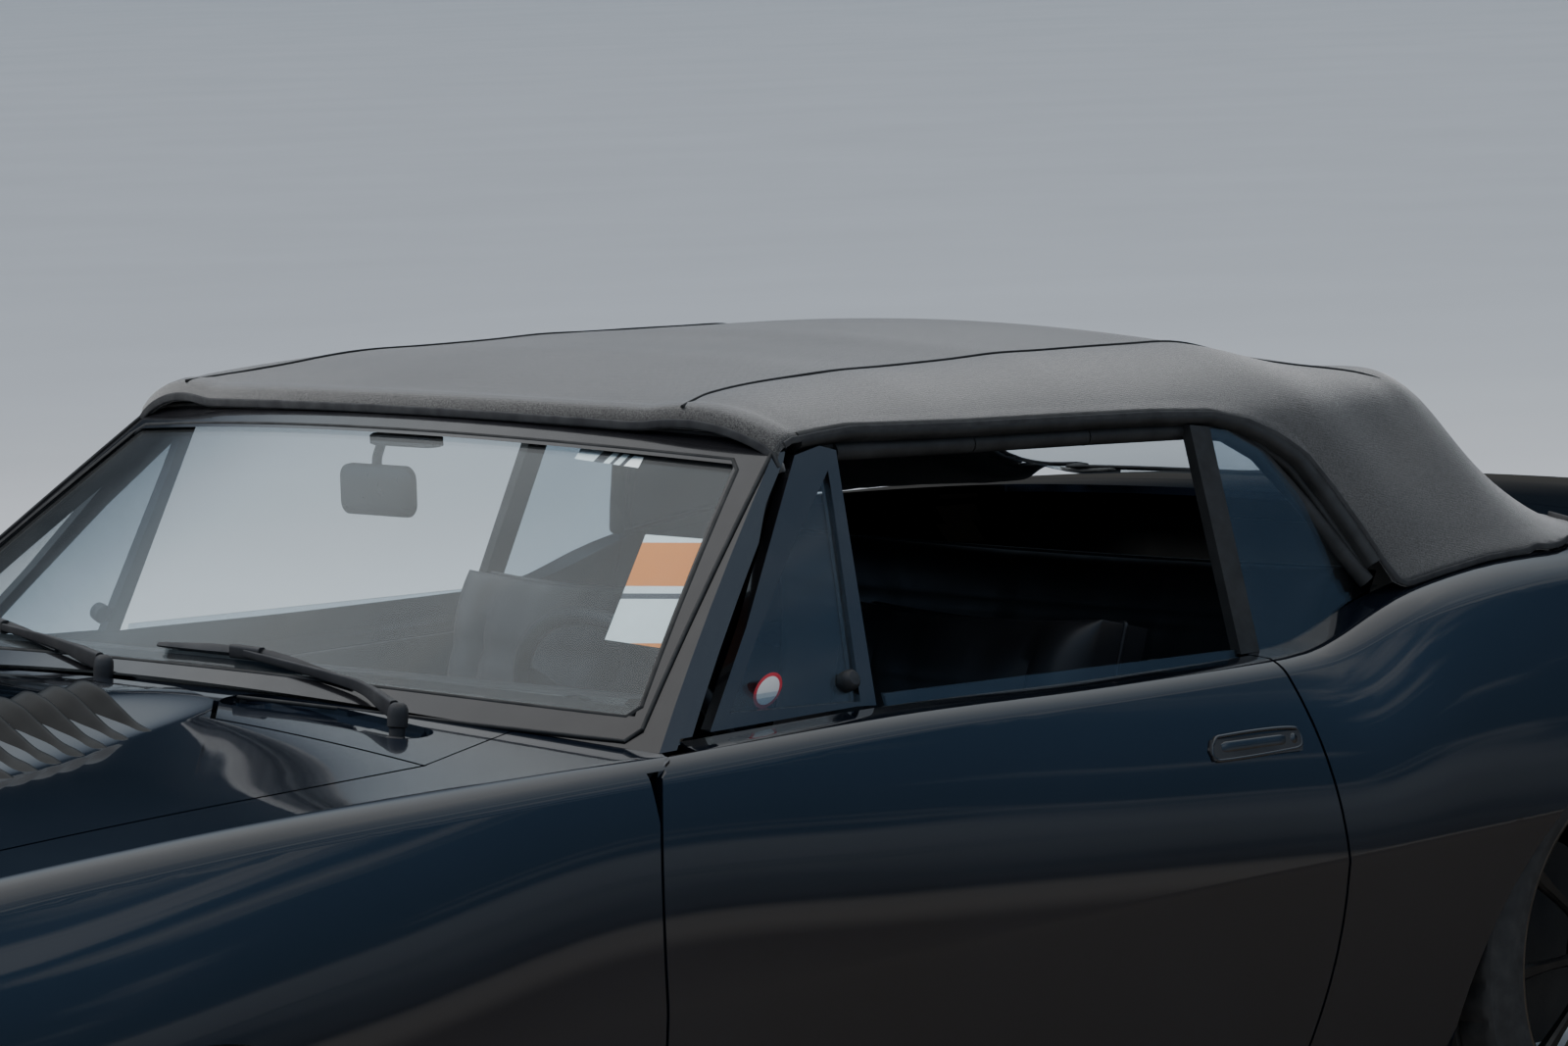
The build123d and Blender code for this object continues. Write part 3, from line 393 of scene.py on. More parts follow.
def smoothed(xs, ys, at, spread):
    """The same curve with its bends softened over that spread."""
    steps = np.linspace(-2.5, 2.5, 21)
    weights = np.exp(-steps * steps / 2)
    values = [w * pchip(xs, ys, np.asarray(at) + spread * step) for w, step in zip(weights, steps)]
    return sum(values) / sum(weights)


def run_lengths(points):
    """The distance along a row of points to each of them."""
    return np.r_[0, np.cumsum(np.linalg.norm(np.diff(points, axis=0), axis=1))]


def smooth_path(points, step=8.0):
    """Points along a soft curve through the given ones."""
    points = np.asarray(points, float)
    runs = run_lengths(points)
    at = np.linspace(0, runs[-1], max(2, int(runs[-1] / step)) + 1)
    if len(points) < 3:
        return np.stack([np.interp(at, runs, column) for column in points.T], 1)
    return np.stack([pchip(runs, column, at) for column in points.T], 1)


def pair(a, b):
    return np.stack([a, b], 1)


def circle_through(a, b, c):
    """Centres and radii of the circles through rows of three points."""
    (ax, ay), (bx, by), (cx, cy) = a.T, b.T, c.T
    a2, b2, c2 = ax**2 + ay**2, bx**2 + by**2, cx**2 + cy**2
    d = 2 * (ax * (by - cy) + bx * (cy - ay) + cx * (ay - by))
    ux = (a2 * (by - cy) + b2 * (cy - ay) + c2 * (ay - by)) / d
    uy = (a2 * (cx - bx) + b2 * (ax - cx) + c2 * (bx - ax)) / d
    return pair(ux, uy), np.hypot(ax - ux, ay - uy)


def arc_points(a, b, c, count):
    """Points on the arc through three points in a plane."""
    (centre,), (radius,) = circle_through(*[np.array([p], float) for p in (a, b, c)])
    start, end = [math.atan2(p[1] - centre[1], p[0] - centre[0]) for p in (a, c)]
    t = np.linspace(start, end, count + 1)
    return centre + radius * pair(np.cos(t), np.sin(t))


# The body's outer surface: smooth curves through the same sections as the CAD body.
# Columns: station x, underside z, underside y, crease y, crease z, shoulder y, shoulder z, centre z, shoulder radius
BODY_SECTIONS = np.array([
    (-2345, 300, 700, 838, 520, 800, 715, 745, 40),
    (-2200, 262, 740, 866, 524, 812, 760, 794, 48),
    (-1900, 235, 770, 890, 530, 820, 812, 848, 52),
    (-1550, 215, 785, 902, 536, 822, 838, 872, 52),
    (-1100, 200, 795, 892, 542, 824, 850, 886, 50),
    (-618, 200, 800, 874, 547, 826, 848, 914, 46),
    (-150, 200, 805, 886, 556, 824, 852, 905, 44),
    (300, 200, 808, 896, 561, 822, 842, 880, 42),
    (700, 200, 808, 905, 564, 820, 838, 872, 42),
    (790, 200, 808, 908, 565, 820, 856, 888, 46),
    (870, 202, 808, 911, 566, 820, 882, 908, 52),
    (960, 205, 808, 914, 567, 819, 900, 926, 60),
    (1200, 212, 805, 919, 570, 814, 920, 948, 74),
    (1600, 225, 790, 912, 576, 804, 914, 944, 78),
    (2000, 255, 760, 886, 581, 790, 896, 926, 72),
    (2345, 310, 715, 852, 585, 772, 868, 896, 56),
], float)
STATIONS, CREASE_Z = BODY_SECTIONS[:, 0], 3
TABLE_X = np.arange(-2420.0, 2421.0, 5.0)
SMOOTH = [smoothed(STATIONS, column, TABLE_X, 45.0) for column in BODY_SECTIONS.T[1:]]
STRAIGHT = [np.interp(TABLE_X, STATIONS, column) for column in BODY_SECTIONS.T[1:]]
LOW_BOW, SIDE_BOW = (10, -6), (13, 5)  # How far the two side arcs stand off their chords' middles, as y and z
LOW, FLANK, ROUNDING, CROWN = range(4)
CREASE_REACH = 70  # How far above and below the crease its bends and its own cuts reach


def section_at(x, table):
    """The half section at each x: its four arcs as centres and radii, its crease and the rounding's ends."""
    low_z, low_y, crease_y, crease_z, edge_y, edge_z, centre_z, radius = [np.interp(x, TABLE_X, row) for row in table]
    low, crease, edge = pair(low_y, low_z), pair(crease_y, crease_z), pair(edge_y, edge_z)
    below = circle_through(low, (low + crease) / 2 + LOW_BOW, crease)
    cs, rs = circle_through(crease, (crease + edge) / 2 + SIDE_BOW, edge)
    cc, rc = circle_through(edge, pair(0 * x, centre_z), edge * [-1, 1])
    # The rounding's centre lies inside both the flank's and the crown's circle by its own radius
    r1, r2, delta = rs - radius, rc - radius, cc - cs
    dist = np.hypot(*delta.T)
    along = (r1**2 - r2**2 + dist**2) / (2 * dist)
    h = np.sqrt(np.maximum(r1**2 - along**2, 0))
    u = delta / dist[:, None]
    base, turn = cs + u * along[:, None], pair(-u[:, 1] * h, u[:, 0] * h)
    one, two = base + turn, base - turn
    nearer = np.hypot(*(one - edge).T) < np.hypot(*(two - edge).T)
    cf = np.where(nearer[:, None], one, two)
    ends = [cf + norm(cf - c) * radius[:, None] for c in (cs, cc)]
    return (below, (cs, rs), (cf, radius), (cc, rc)), crease, ends


def project(points, table):
    """Signed distance to the section, its nearest point and the normal in its plane."""
    x, z, side = points[:, 0], points[:, 2], np.where(points[:, 1] < 0, -1.0, 1.0)
    q = pair(np.abs(points[:, 1]), z)
    arcs, crease, ends = section_at(x, table)
    hub = arcs[ROUNDING][0]
    v = q - hub
    angle, from_side, to_crown = [np.arctan2(w[:, 1], w[:, 0]) for w in (v, *[end - hub for end in ends])]
    kind = np.where(z < crease[:, 1], LOW, FLANK)
    kind = np.where((angle > from_side) & (angle < to_crown) & (v[:, 0] > -5) & (kind == FLANK), ROUNDING, kind)
    kind = np.where((angle >= to_crown) & (kind == FLANK) & (z > hub[:, 1]), CROWN, kind)
    centre, radius = [np.stack(values)[kind, np.arange(len(x))] for values in zip(*arcs)]
    v = q - centre
    length = np.hypot(*v.T)
    n = v / length[:, None]
    foot = centre + n * radius[:, None]
    # Near the crease the normal turns softly from one side's to the other's
    soft_run = 8.0
    t = np.abs(np.clip((z - crease[:, 1]) / soft_run, -1, 1))[:, None]
    mean = norm(norm(crease - arcs[LOW][0]) + norm(crease - arcs[FLANK][0]))
    flip = pair(side, np.ones_like(side))
    return length - radius, foot * flip, norm(n * t + mean * (1 - t)) * flip


def on_body(points):
    """The points moved onto the smooth body, and the body's normals there."""
    x, z = points[:, 0], points[:, 2]
    straight, smooth = [np.interp(x, TABLE_X, table[CREASE_Z]) for table in (STRAIGHT, SMOOTH)]
    near = np.clip(1 - np.abs(z - straight) / CREASE_REACH, 0, 1)
    points = points + np.column_stack([0 * x, 0 * x, (smooth - straight) * near])
    _, foot, n2 = project(points, SMOOTH)
    moved, step = np.column_stack([x, foot]), 4.0
    ahead, behind = [project(moved + [dx, 0, 0], SMOOTH)[0] for dx in (step, -step)]
    return moved, norm(np.column_stack([(ahead - behind) / (2 * step), n2]))


def crown_height(x, y):
    """Height of the smooth body's upper surface."""
    centre, radius = section_at(x, SMOOTH)[0][CROWN]
    return centre[:, 1] + np.sqrt(np.maximum(radius**2 - (y - centre[:, 0]) ** 2, 1))


# The hood's raised middle. Columns: x, half width of its flat top, height of that top, half width at its foot
BULGE = np.array([(-2060, 160, 800, 300), (-1750, 185, 882, 365), (-1230, 195, 924, 378), (-960, 165, 930, 306),
                  (-726, 150, 916, 250)], float)


def hood_height(x, y):
    top_y, top_z, foot_y = [smoothed(BULGE[:, 0], column, x, 30.0) for column in BULGE.T[1:]]
    rise = np.maximum(top_z - crown_height(x, 0 * y), 0) * np.clip((x + 2000) / 200, 0, 1) ** 2
    t = np.clip((np.abs(y) - top_y) / (foot_y - top_y), 0, 1)
    return crown_height(x, y) + rise * (1 - t * t * (3 - 2 * t))


def hood_normals(x, y, step=3):
    slope_x = (hood_height(x + step, y) - hood_height(x - step, y)) / (2 * step)
    slope_y = (hood_height(x, y + step) - hood_height(x, y - step)) / (2 * step)
    return norm(np.column_stack([-slope_x, -slope_y, np.ones_like(x)]))


# Painted panels: the CAD panels cut finely, their outsides moved onto the smooth body

def steps(low, high, step):
    count = max(1, int(math.ceil((high - low) / step)))
    return np.linspace(low, high, count + 1)[1:-1]


def cut(bm, geom, point, normal):
    bmesh.ops.bisect_plane(bm, geom=geom, dist=1e-6, plane_co=point * MM, plane_no=normal)


def cut_finely(bm, planes):
    for axis, values in planes:
        normal = Vector([float(i == axis) for i in range(3)])
        for value in values:
            cut(bm, bm.verts[:] + bm.edges[:] + bm.faces[:], normal * float(value), normal)


def cut_beside_crease(bm):
    """Cuts that run parallel to the side's crease, so that it shades as one clean line."""
    for (x0, z0), (x1, z1) in zip(BODY_SECTIONS[:-1, [0, 4]], BODY_SECTIONS[1:, [0, 4]]):
        normal = Vector((-(z1 - z0), 0, x1 - x0)).normalized()
        for offset in (-26, -9, -3, 3, 9, 26):
            faces = []
            for face in bm.faces:
                c = face.calc_center_median() * METRE
                crease_z = z0 + (z1 - z0) * (c.x - x0) / (x1 - x0)
                if x0 < c.x < x1 and abs(c.z - crease_z) < CREASE_REACH and abs(c.y) > 700:
                    faces.append(face)
            if faces:
                geom = list({v for f in faces for v in f.verts}) + list({e for f in faces for e in f.edges}) + faces
                cut(bm, geom, Vector((x0, 0, z0 + offset)), normal)


def read(items, attribute):
    values = np.zeros(len(items) * 3)
    items.foreach_get(attribute, values)
    return values.reshape(-1, 3)


# An outside face lies no further than this outside the body, and the cosine of its normal's turn is over ALIKE
PROUD, ALIKE, LONGEST_SHIFT = 14, 0.6, 25


def smooth_panel(name, planes, hood=False, crease=False, reach=11.5):
    """A painted panel with the smooth body's shape and normals. Its outside may lie as deep as reach under the body."""
    bm = bmesh.new()
    bm.from_mesh(NODES[name].data)
    bmesh.ops.remove_doubles(bm, verts=bm.verts[:], dist=2e-6)
    cut_finely(bm, planes)
    if crease:
        cut_beside_crease(bm)
    mesh = bpy.data.meshes.new(name + "_skin")
    bm.to_mesh(mesh)
    bm.free()
    points = read(mesh.vertices, "co") * METRE
    x, y = points[:, 0], points[:, 1]
    if hood:
        outside = points[:, 2] > crown_height(x, y) - 6
        moved, normals = np.column_stack([x, y, hood_height(x, y)]), hood_normals(x, y)
    else:
        # Outside faces look the same way as the smooth body beside them
        spots, ways = read(mesh.polygons, "center") * METRE, read(mesh.polygons, "normal")
        distance = project(spots, STRAIGHT)[0]
        skin = ((ways * on_body(spots)[1]).sum(1) > ALIKE) & (distance > -reach) & (distance < PROUD)
        outside = np.zeros(len(points), bool)
        for poly in mesh.polygons:
            if skin[poly.index]:
                outside[list(poly.vertices)] = True
        moved, normals = on_body(points)
    shift = np.where(outside[:, None], moved - points, 0)
    shift[np.linalg.norm(shift, axis=1) > LONGEST_SHIFT] = 0
    mesh.vertices.foreach_set("co", ((points + shift) * MM).ravel())
    mesh.update()
    loop_normals = np.zeros((len(mesh.loops), 3))
    for poly in mesh.polygons:
        poly.use_smooth = True
        own, rows = np.array(poly.normal), [mesh.loops[i].vertex_index for i in poly.loop_indices]
        use = outside[rows].all() and float(np.dot(own, normals[rows].mean(0))) > ALIKE
        loop_normals[list(poly.loop_indices)] = normals[rows] if use else own
    mesh.normals_split_custom_set(loop_normals.tolist())
    return place(name + "_paint", mesh, PAINT, "black_paint", BODY_OF[name], (name,))


def side_planes(low, high):
    """Cuts for a side panel: along the car, then finer where its shoulder is rounded."""
    inner = STATIONS[(STATIONS > low) & (STATIONS < high)]
    return [(0, np.union1d(steps(low, high, 45), inner)), (2, steps(200, 500, 60)), (2, steps(610, 780, 34)),
            (2, steps(780, 935, 8)), (1, np.concatenate([steps(-840, -740, 9), steps(740, 840, 9)]))]


def top_planes(low, high):
    return [(0, steps(low, high, 45)), (1, steps(-700, 700, 60))]


# Columns: panel, front and rear x, and how deep under the body its outside may lie
for name, low, high, reach in (("fenders", -2215, -530, 1.5), ("left_door", -630, 660, 16),
                               ("right_door", -630, 660, 16), ("quarter_panels", -610, 2210, 16)):
    smooth_panel(name, side_planes(low, high), crease=True, reach=reach)
smooth_panel("hood", [(0, steps(-2262, -745, 30)), (1, steps(-688, -390, 45)), (1, steps(-400, 400, 9)),
                      (1, steps(390, 688, 45))], hood=True)
for name, low, high, reach in (("cowl_panel", -860, -600, 2.0), ("trunk_lid", 1700, 2262, 11.5),
                               ("rear_deck", 1500, 1695, 11.5)):
    smooth_panel(name, top_planes(low, high), reach=reach)
for name, low, high in (("nose_panel", -2330, -2205), ("tail_panel", 2205, 2330)):
    smooth_panel(name, side_planes(low, high), crease=True, reach=1.5)


# Folding top: one cloth sheet over the bows, from the header to the deck and down to the windows.
# Columns: x, foot half width and height, side half width and height, seam half width and height, middle height
TOP_SECTIONS = np.array([
    (-250, 640, 880, 622, 1196, 430, 1231, 1243), (-190, 640, 880, 624, 1198, 430, 1234, 1246),
    (-90, 650, 880, 632, 1200, 430, 1247, 1260), (120, 660, 880, 640, 1190, 430, 1258, 1273),
    (450, 680, 890, 645, 1172, 430, 1256, 1273), (850, 770, 895, 640, 1152, 440, 1243, 1262),
    (1010, 784, 905, 628, 1150, 470, 1200, 1226), (1215, 786, 918, 600, 1142, 470, 1172, 1196),
    (1300, 784, 922, 585, 1072, 455, 1105, 1128), (1400, 752, 926, 560, 1000, 430, 1030, 1052),
    (1520, 640, 933, 480, 952, 380, 968, 986), (1612, 420, 940, 340, 944, 260, 947, 950),
], float)
# The cloth's lower edge seen from the side: along the windows, down behind the quarter glass, then the deck
CLOTH_EDGE = np.array([
    (-300, 1178), (-160, 1181), (-120, 1192), (-70, 1195), (-16, 1197), (181, 1185), (377, 1176), (580, 1166),
    (704, 1156), (770, 1141), (821, 1119), (865, 1087), (893, 1034), (918, 966), (932, 912), (950, 902), (1023, 911),
    (1136, 921), (1230, 923), (1342, 923), (1400, 923), (1450, 924), (1520, 928), (1612, 936),
], float)
# The sewn line between the roof panel and the side panel: x and y
SEAM_LINE = [(-184, 490), (-150, 474), (-90, 452), (-30, 446), (100, 458), (340, 452), (650, 443), (800, 440),
             (930, 462), (1024, 520), (1131, 564), (1180, 592)]
# The bows under the cloth: x, and how far each lifts it
BOWS = [(140, 3.0), (470, 4.0), (860, 4.5), (1205, 3.0)]
FRONT_X, HEADER_DEPTH, HEADER_HALF = -242, 114.0, 700.0
SIDE_SWELL = (22, 14)  # How far the cloth's shoulder stands off the chord from the seam to the rail, as y and z
REAR_X, CLOTH_THICKNESS = 1590, 0.0045


def top_section(x, step=4.0):
    """The cloth's right half section at station x, from the middle outwards and down, a point every step."""
    foot_y, foot_z, rail_y, rail_z, seam_y, seam_z, middle_z = [
        float(smoothed(TOP_SECTIONS[:, 0], column, np.array([x]), 30.0)[0]) for column in TOP_SECTIONS.T[1:]]
    crown = arc_points((-seam_y, seam_z), (0, middle_z), (seam_y, seam_z), 60)[30:]
    swell = ((rail_y + seam_y) / 2 + SIDE_SWELL[0], (rail_z + seam_z) / 2 + SIDE_SWELL[1])
    side = arc_points((seam_y, seam_z), swell, (rail_y, rail_z), 20)
    foot = pair(np.linspace(rail_y, foot_y, 30), np.linspace(rail_z, foot_z, 30))
    points = np.concatenate([crown, side[1:], foot[1:]])
    runs = run_lengths(points)
    at = np.arange(0, runs[-1], step)
    even = np.stack([np.interp(at, runs, column) for column in points.T], 1)
    # Mirrored, run on straight past its ends and softened, so that no corner is left
    whole, past = np.concatenate([even[:0:-1] * [-1, 1], even]), np.arange(1, 30)[:, None]
    whole = np.concatenate([whole[0] + (whole[0] - whole[1]) * past[::-1], whole,
                            whole[-1] + (whole[-1] - whole[-2]) * past])
    weights = np.exp(-(np.arange(-12, 13) / 3.0) ** 2 / 2)
    soft = np.stack([np.convolve(column, weights / weights.sum(), mode="same") for column in whole.T], 1)
    first = len(past) + len(even) - 1
    return soft[first:first + len(even)]


TOP_X = np.arange(-260.0, 1600.0, 10.0)
TOP_CURVES = [top_section(x) for x in TOP_X]


def header_x(y):
    """The cloth's front edge in plan."""
    r = (HEADER_DEPTH**2 + HEADER_HALF**2) / (2 * HEADER_DEPTH)
    return FRONT_X + r - np.sqrt(np.maximum(r * r - y * y, 0)) + 0.5


def curve_at(x):
    k = int(np.clip((x - TOP_X[0]) // 10, 0, len(TOP_X) - 2))
    t = (x - TOP_X[k]) / 10
    a, b = TOP_CURVES[k], TOP_CURVES[k + 1]
    n = min(len(a), len(b))
    return a[:n] * (1 - t) + b[:n] * t


def cloth_point(x, v):
    """The cloth's y and z at station x on the right side: v is 0 in the middle and 1 at the lower edge."""
    curve = curve_at(x)
    low_z = float(np.interp(x, *CLOTH_EDGE.T))
    below = np.nonzero(curve[:, 1] < low_z)[0]
    end = float(below[0]) if len(below) else float(len(curve) - 1)
    if len(below) and below[0] > 0:
        z0, z1 = curve[below[0] - 1:below[0] + 1, 1]
        end = below[0] - 1 + (z0 - low_z) / max(z0 - z1, 1e-6)
    at, index = np.asarray(v) * end, np.arange(len(curve))
    return [np.interp(at, index, column) for column in curve.T]


def cloth_height(x, y):
    """Height of the cloth's upper side at a point inside its outline."""
    curve = curve_at(x)
    upper = curve[:int(np.argmax(curve[:, 0])) + 1]
    return float(np.interp(abs(y), *upper.T))


def bow_lift(x, y):
    """How far the bows lift the cloth, less its sag between them. It fades out to the sides."""
    lift = sum(height * np.exp(-((x - bow_x) / 70.0) ** 2) for bow_x, height in BOWS)
    return (lift - 2.2) * np.clip(1 - np.abs(y) / 640.0, 0, 1) ** 0.5


def make_top():
    """The cloth's right half, as rows of points from the header to the deck."""
    runs = np.concatenate([
        [0, 3, 7, 12, 18, 25, 34], np.arange(45, 1000, 18.0), np.arange(1000, 1240, 6.0), np.arange(1240, 1790, 14.0)])
    lanes = np.concatenate([np.linspace(0, 0.55, 20, endpoint=False), np.linspace(0.55, 1, 34)])
    nose_radius, rows = 13, []
    for s in runs:
        # Near the front the rows follow the header's curve
        base, pull = FRONT_X + s, max(0.0, 1 - max(s - 60, 0) / 420.0)
        places = [min(base + (header_x(min(y, 660)) - FRONT_X) * pull, REAR_X)
                  for y in cloth_point(min(base, REAR_X), lanes)[0]]
        row = np.array([(x, *cloth_point(x, v)) for x, v in zip(places, lanes)])
        drop = nose_radius - math.sqrt(nose_radius**2 - (nose_radius - s) ** 2) if s < nose_radius else 0.0
        ridge = 1.6 * math.exp(-((s - 26) / 9.0) ** 2) - 1.4 * math.exp(-((s - 40) / 5.0) ** 2)
        row[:, 2] += -drop + ridge + bow_lift(row[0, 0], row[:, 1]) * np.clip(s / 120.0, 0, 1)
        rows.append(row)
    rows = np.array(rows)
    # Soft drag folds on the side and behind the quarter glass
    x, y, z = rows[..., 0], rows[..., 1], rows[..., 2]
    side = np.clip((np.abs(y) - 470) / 120.0, 0, 1)
    inner = np.clip((0.95 - lanes[None, :]) / 0.2, 0, 1)
    folds = 2.4 * np.sin((x + 0.8 * z) / 46.0 + 1.3 * np.sin(x / 160.0)) * np.clip((x - 700) / 300.0, 0, 1)
    folds += 1.6 * np.sin((x - 2.1 * z) / 61.0) * np.clip((x + 100) / 400.0, 0, 1)
    rows[..., 1] += side * inner * folds * 0.8
    rows[..., 2] += 5.0 * np.exp(-(((x - 1175) / 26.0) ** 2 + ((y - 588) / 46.0) ** 2)) * inner
    # The hem stands a little proud along the lower edge
    normals = norm(np.cross(np.gradient(rows, axis=0), np.gradient(rows, axis=1)))
    normals *= np.sign(normals[..., 2:3] + 1e-6 + 3 * normals[..., 1:2])
    hem = np.clip((lanes - 0.965) / 0.012, 0, 1) * 1.6
    return rows + normals * hem[None, :, None]


cloth_half = make_top()
cloth = np.concatenate([(cloth_half * [1, -1, 1])[:, :0:-1], cloth_half], 1)
# The front edge turns down and in over the header
front_low = cloth[:1] + [1.0, 0, -16]
front_mid = (front_low + cloth[:1]) / 2 - [1.5, 0, 0]
rows = np.concatenate([front_low + [10, 0, 1], front_low, front_mid, cloth])

# The rear window's opening, as half of a rounded outline in the front view
WINDOW = np.array([(0, 971), (250, 970), (405, 968), (440, 975), (455, 992), (452, 1012), (432, 1066), (415, 1086),
                   (385, 1094), (200, 1100), (0, 1102)], float)
WINDOW_FRONT_X = 1240


def in_window(p, grow=0.0):
    x, y, z = p[0], abs(p[1]), p[2]
    low = np.interp(y, *WINDOW[:4].T) - grow
    high = np.interp(y, *WINDOW[:6:-1].T) + grow
    wide = np.interp(z, WINDOW[3:8, 1], WINDOW[3:8, 0]) + grow
    return x >= WINDOW_FRONT_X and y < wide and low < z < high


points = rows.reshape(-1, 3)
faces = reversed_faces(grid_faces(*rows.shape[:2]))
cloth_faces = [f for f in faces if not in_window(points[list(f)].mean(0))]
top = piece("cloth_top", Shape(points, cloth_faces), CANVAS, "canvas", nodes=("folding_top",), sharp=80)
bare = bmesh.new()
bare.from_mesh(top.data)
bmesh.ops.delete(bare, geom=[v for v in bare.verts if not v.link_faces], context="VERTS")
cloth_area = sum(f.calc_area() for f in bare.faces)
bare.to_mesh(top.data)
bare.free()
thick = top.modifiers.new("thickness", "SOLIDIFY")
thick.thickness, thick.offset = CLOTH_THICKNESS, -1.0

# Rear window: a clear sheet just inside the cloth, sewn in with a binding
pane_faces = [f for f in faces if in_window(points[list(f)].mean(0), grow=16)]
used = sorted({i for f in pane_faces for i in f})
place_of = {i: k for k, i in enumerate(used)}
pane = Shape([points[i] - [3.2, 0, 4.4] for i in used], [tuple(place_of[i] for i in f) for f in pane_faces])
piece("rear_window_pane", pane, SCREEN, "glass", nodes=("rear_window",))


def cloth_at(y, z):
    """The cloth's point on the rear panel at that y and z."""
    low, high = float(WINDOW_FRONT_X), 1600.0
    for _ in range(20):
        mid = (low + high) / 2
        low, high = (mid, high) if cloth_height(mid, y) > z else (low, mid)
    return np.array([low, y, z])


outline = smooth_path([(y, z) for y, z in WINDOW] + [(-y, z) for y, z in WINDOW[-2::-1]], 12)[:-1]
line = [cloth_at(y, z) + [1.2, 0, 1.6] for y, z in outline]
piece("window_binding", Shape().sweep(line, rounded(16, 4.5, 2), (0.35, 0, 0.94), closed=True), PIPING, "canvas")

seams, hem, edge = Shape(), Shape(), cloth_half[:, -1]
for side in (-1, 1):
    line = smooth_path([(x, side * y, 0) for x, y in SEAM_LINE], 14)
    line[:, 2] = [cloth_height(x, y) + 0.3 + bow_lift(x, y) for x, y, _ in line]
    seams.sweep(line, circle(2.3, 8))
    hem.sweep([(x, side * (y + 0.5), z + 3) for x, y, z in edge[3::2]], rounded(4.5, 9, 2))
hem.sweep([(x - 1.5, y, z - 9) for x, y, z in cloth[0][::2]], rounded(5, 12, 2.2))
seams = piece("cloth_seams", seams, SEAM_AND_GAP_SHADE, "canvas")
hem = piece("cloth_binding", hem, PIPING, "canvas")

# Weatherstrips under the cloth's edge, from the pillar back and down behind the quarter glass
path = smooth_path([p for p in edge if -112 < p[0] < 936][::2], 14)
slant = np.clip((path[:, 0] - 700) / 150, 0, 1)


def blend(level, upright):
    """A vector that turns from the level run's to the upright run's."""
    return np.outer(1 - slant, level) + np.outer(slant, upright)


path, inward = path - blend((4, 14, 3), (12, 14, 3)), blend((0, 0.45, -1.0), (-0.9, 0.25, -0.55))
strips = Shape().sweep(path, rounded(34, 22, 8, 4), inward)
strips.sweep(path - blend((0, 4, 15), (10, 4, 9)), rounded(15, 12, 5, 3), inward)
piece("side_weatherstrips", strips.both(), RUBBER, "rubber")


# Windshield: the CAD glass follows a cone through two plan arcs. Columns: height, middle x, radius
SCREEN_ARCS = [(830, -860, 1280), (1260, -162, 1430)]


def on_screen(y, z, offset=0.0):
    """A point offset forward of the windshield's glass."""
    (z0, x0, r0), (z1, x1, r1) = SCREEN_ARCS
    t = (z - z0) / (z1 - z0)
    middle, radius = x0 + t * (x1 - x0), r0 + t * (r1 - r0)
    return np.array([middle + radius - math.sqrt((radius + offset) ** 2 - y * y), y, z])


def front_arc(y, half, side_z, middle_z):
    """Height at y of a shallow arc through (+-half, side_z) and (0, middle_z)."""
    rise = middle_z - side_z
    r = (half**2 + rise**2) / (2 * abs(rise))
    return middle_z - math.copysign(r - math.sqrt(r * r - y * y), rise)


def screen_loop(grow, offset):
    """The glass outline, wider by grow, as a closed loop of points offset forward of the glass."""
    low_y, low_z, low_mid = 741 + grow, 892 - grow, 934 - grow
    high_y, high_z, high_mid = 588 + grow, 1168 + grow, 1194 + grow
    side = [(low_y + t * (high_y - low_y), low_z + t * (high_z - low_z)) for t in np.linspace(0.04, 0.96, 30)]
    outline = [(y, front_arc(y, low_y, low_z, low_mid)) for y in np.linspace(-low_y + 14, low_y - 14, 60)] + side
    outline += [(y, front_arc(y, high_y, high_z, high_mid)) for y in np.linspace(high_y - 12, -high_y + 12, 50)]
    outline += [(-y, z) for y, z in reversed(side)]
    return np.array([on_screen(y, z, offset) for y, z in outline])


SCREEN_AXIS = norm(on_screen(0, 1100, 40) - on_screen(0, 1100, 0))
for name, grow, offset, profile in (
    ("windshield_gasket", 3, 3, rounded(7, 8, 2.5)), ("windshield_bead", 27, 9.5, rounded(5, 5, 2)),
):
    piece(name, Shape().sweep(screen_loop(grow, offset), profile, SCREEN_AXIS, closed=True), RUBBER, "rubber")

# Wipers: hub, flat tapered arm, and a beam blade with its rubber
WIPER_X = -738
HUB = [(0.01, 44), (6, 43.5), (10, 41), (12.5, 36), (13.2, 28), (12.8, 14), (10, 12), (10, 2), (18, 0), (20, -6),
       (0.01, -6)]
BLADE = [(-7, -2), (7, -2), (6, 2.5), (1.5, 6.5), (-4, 3)]
wipers, rubbers = Shape(), Shape()
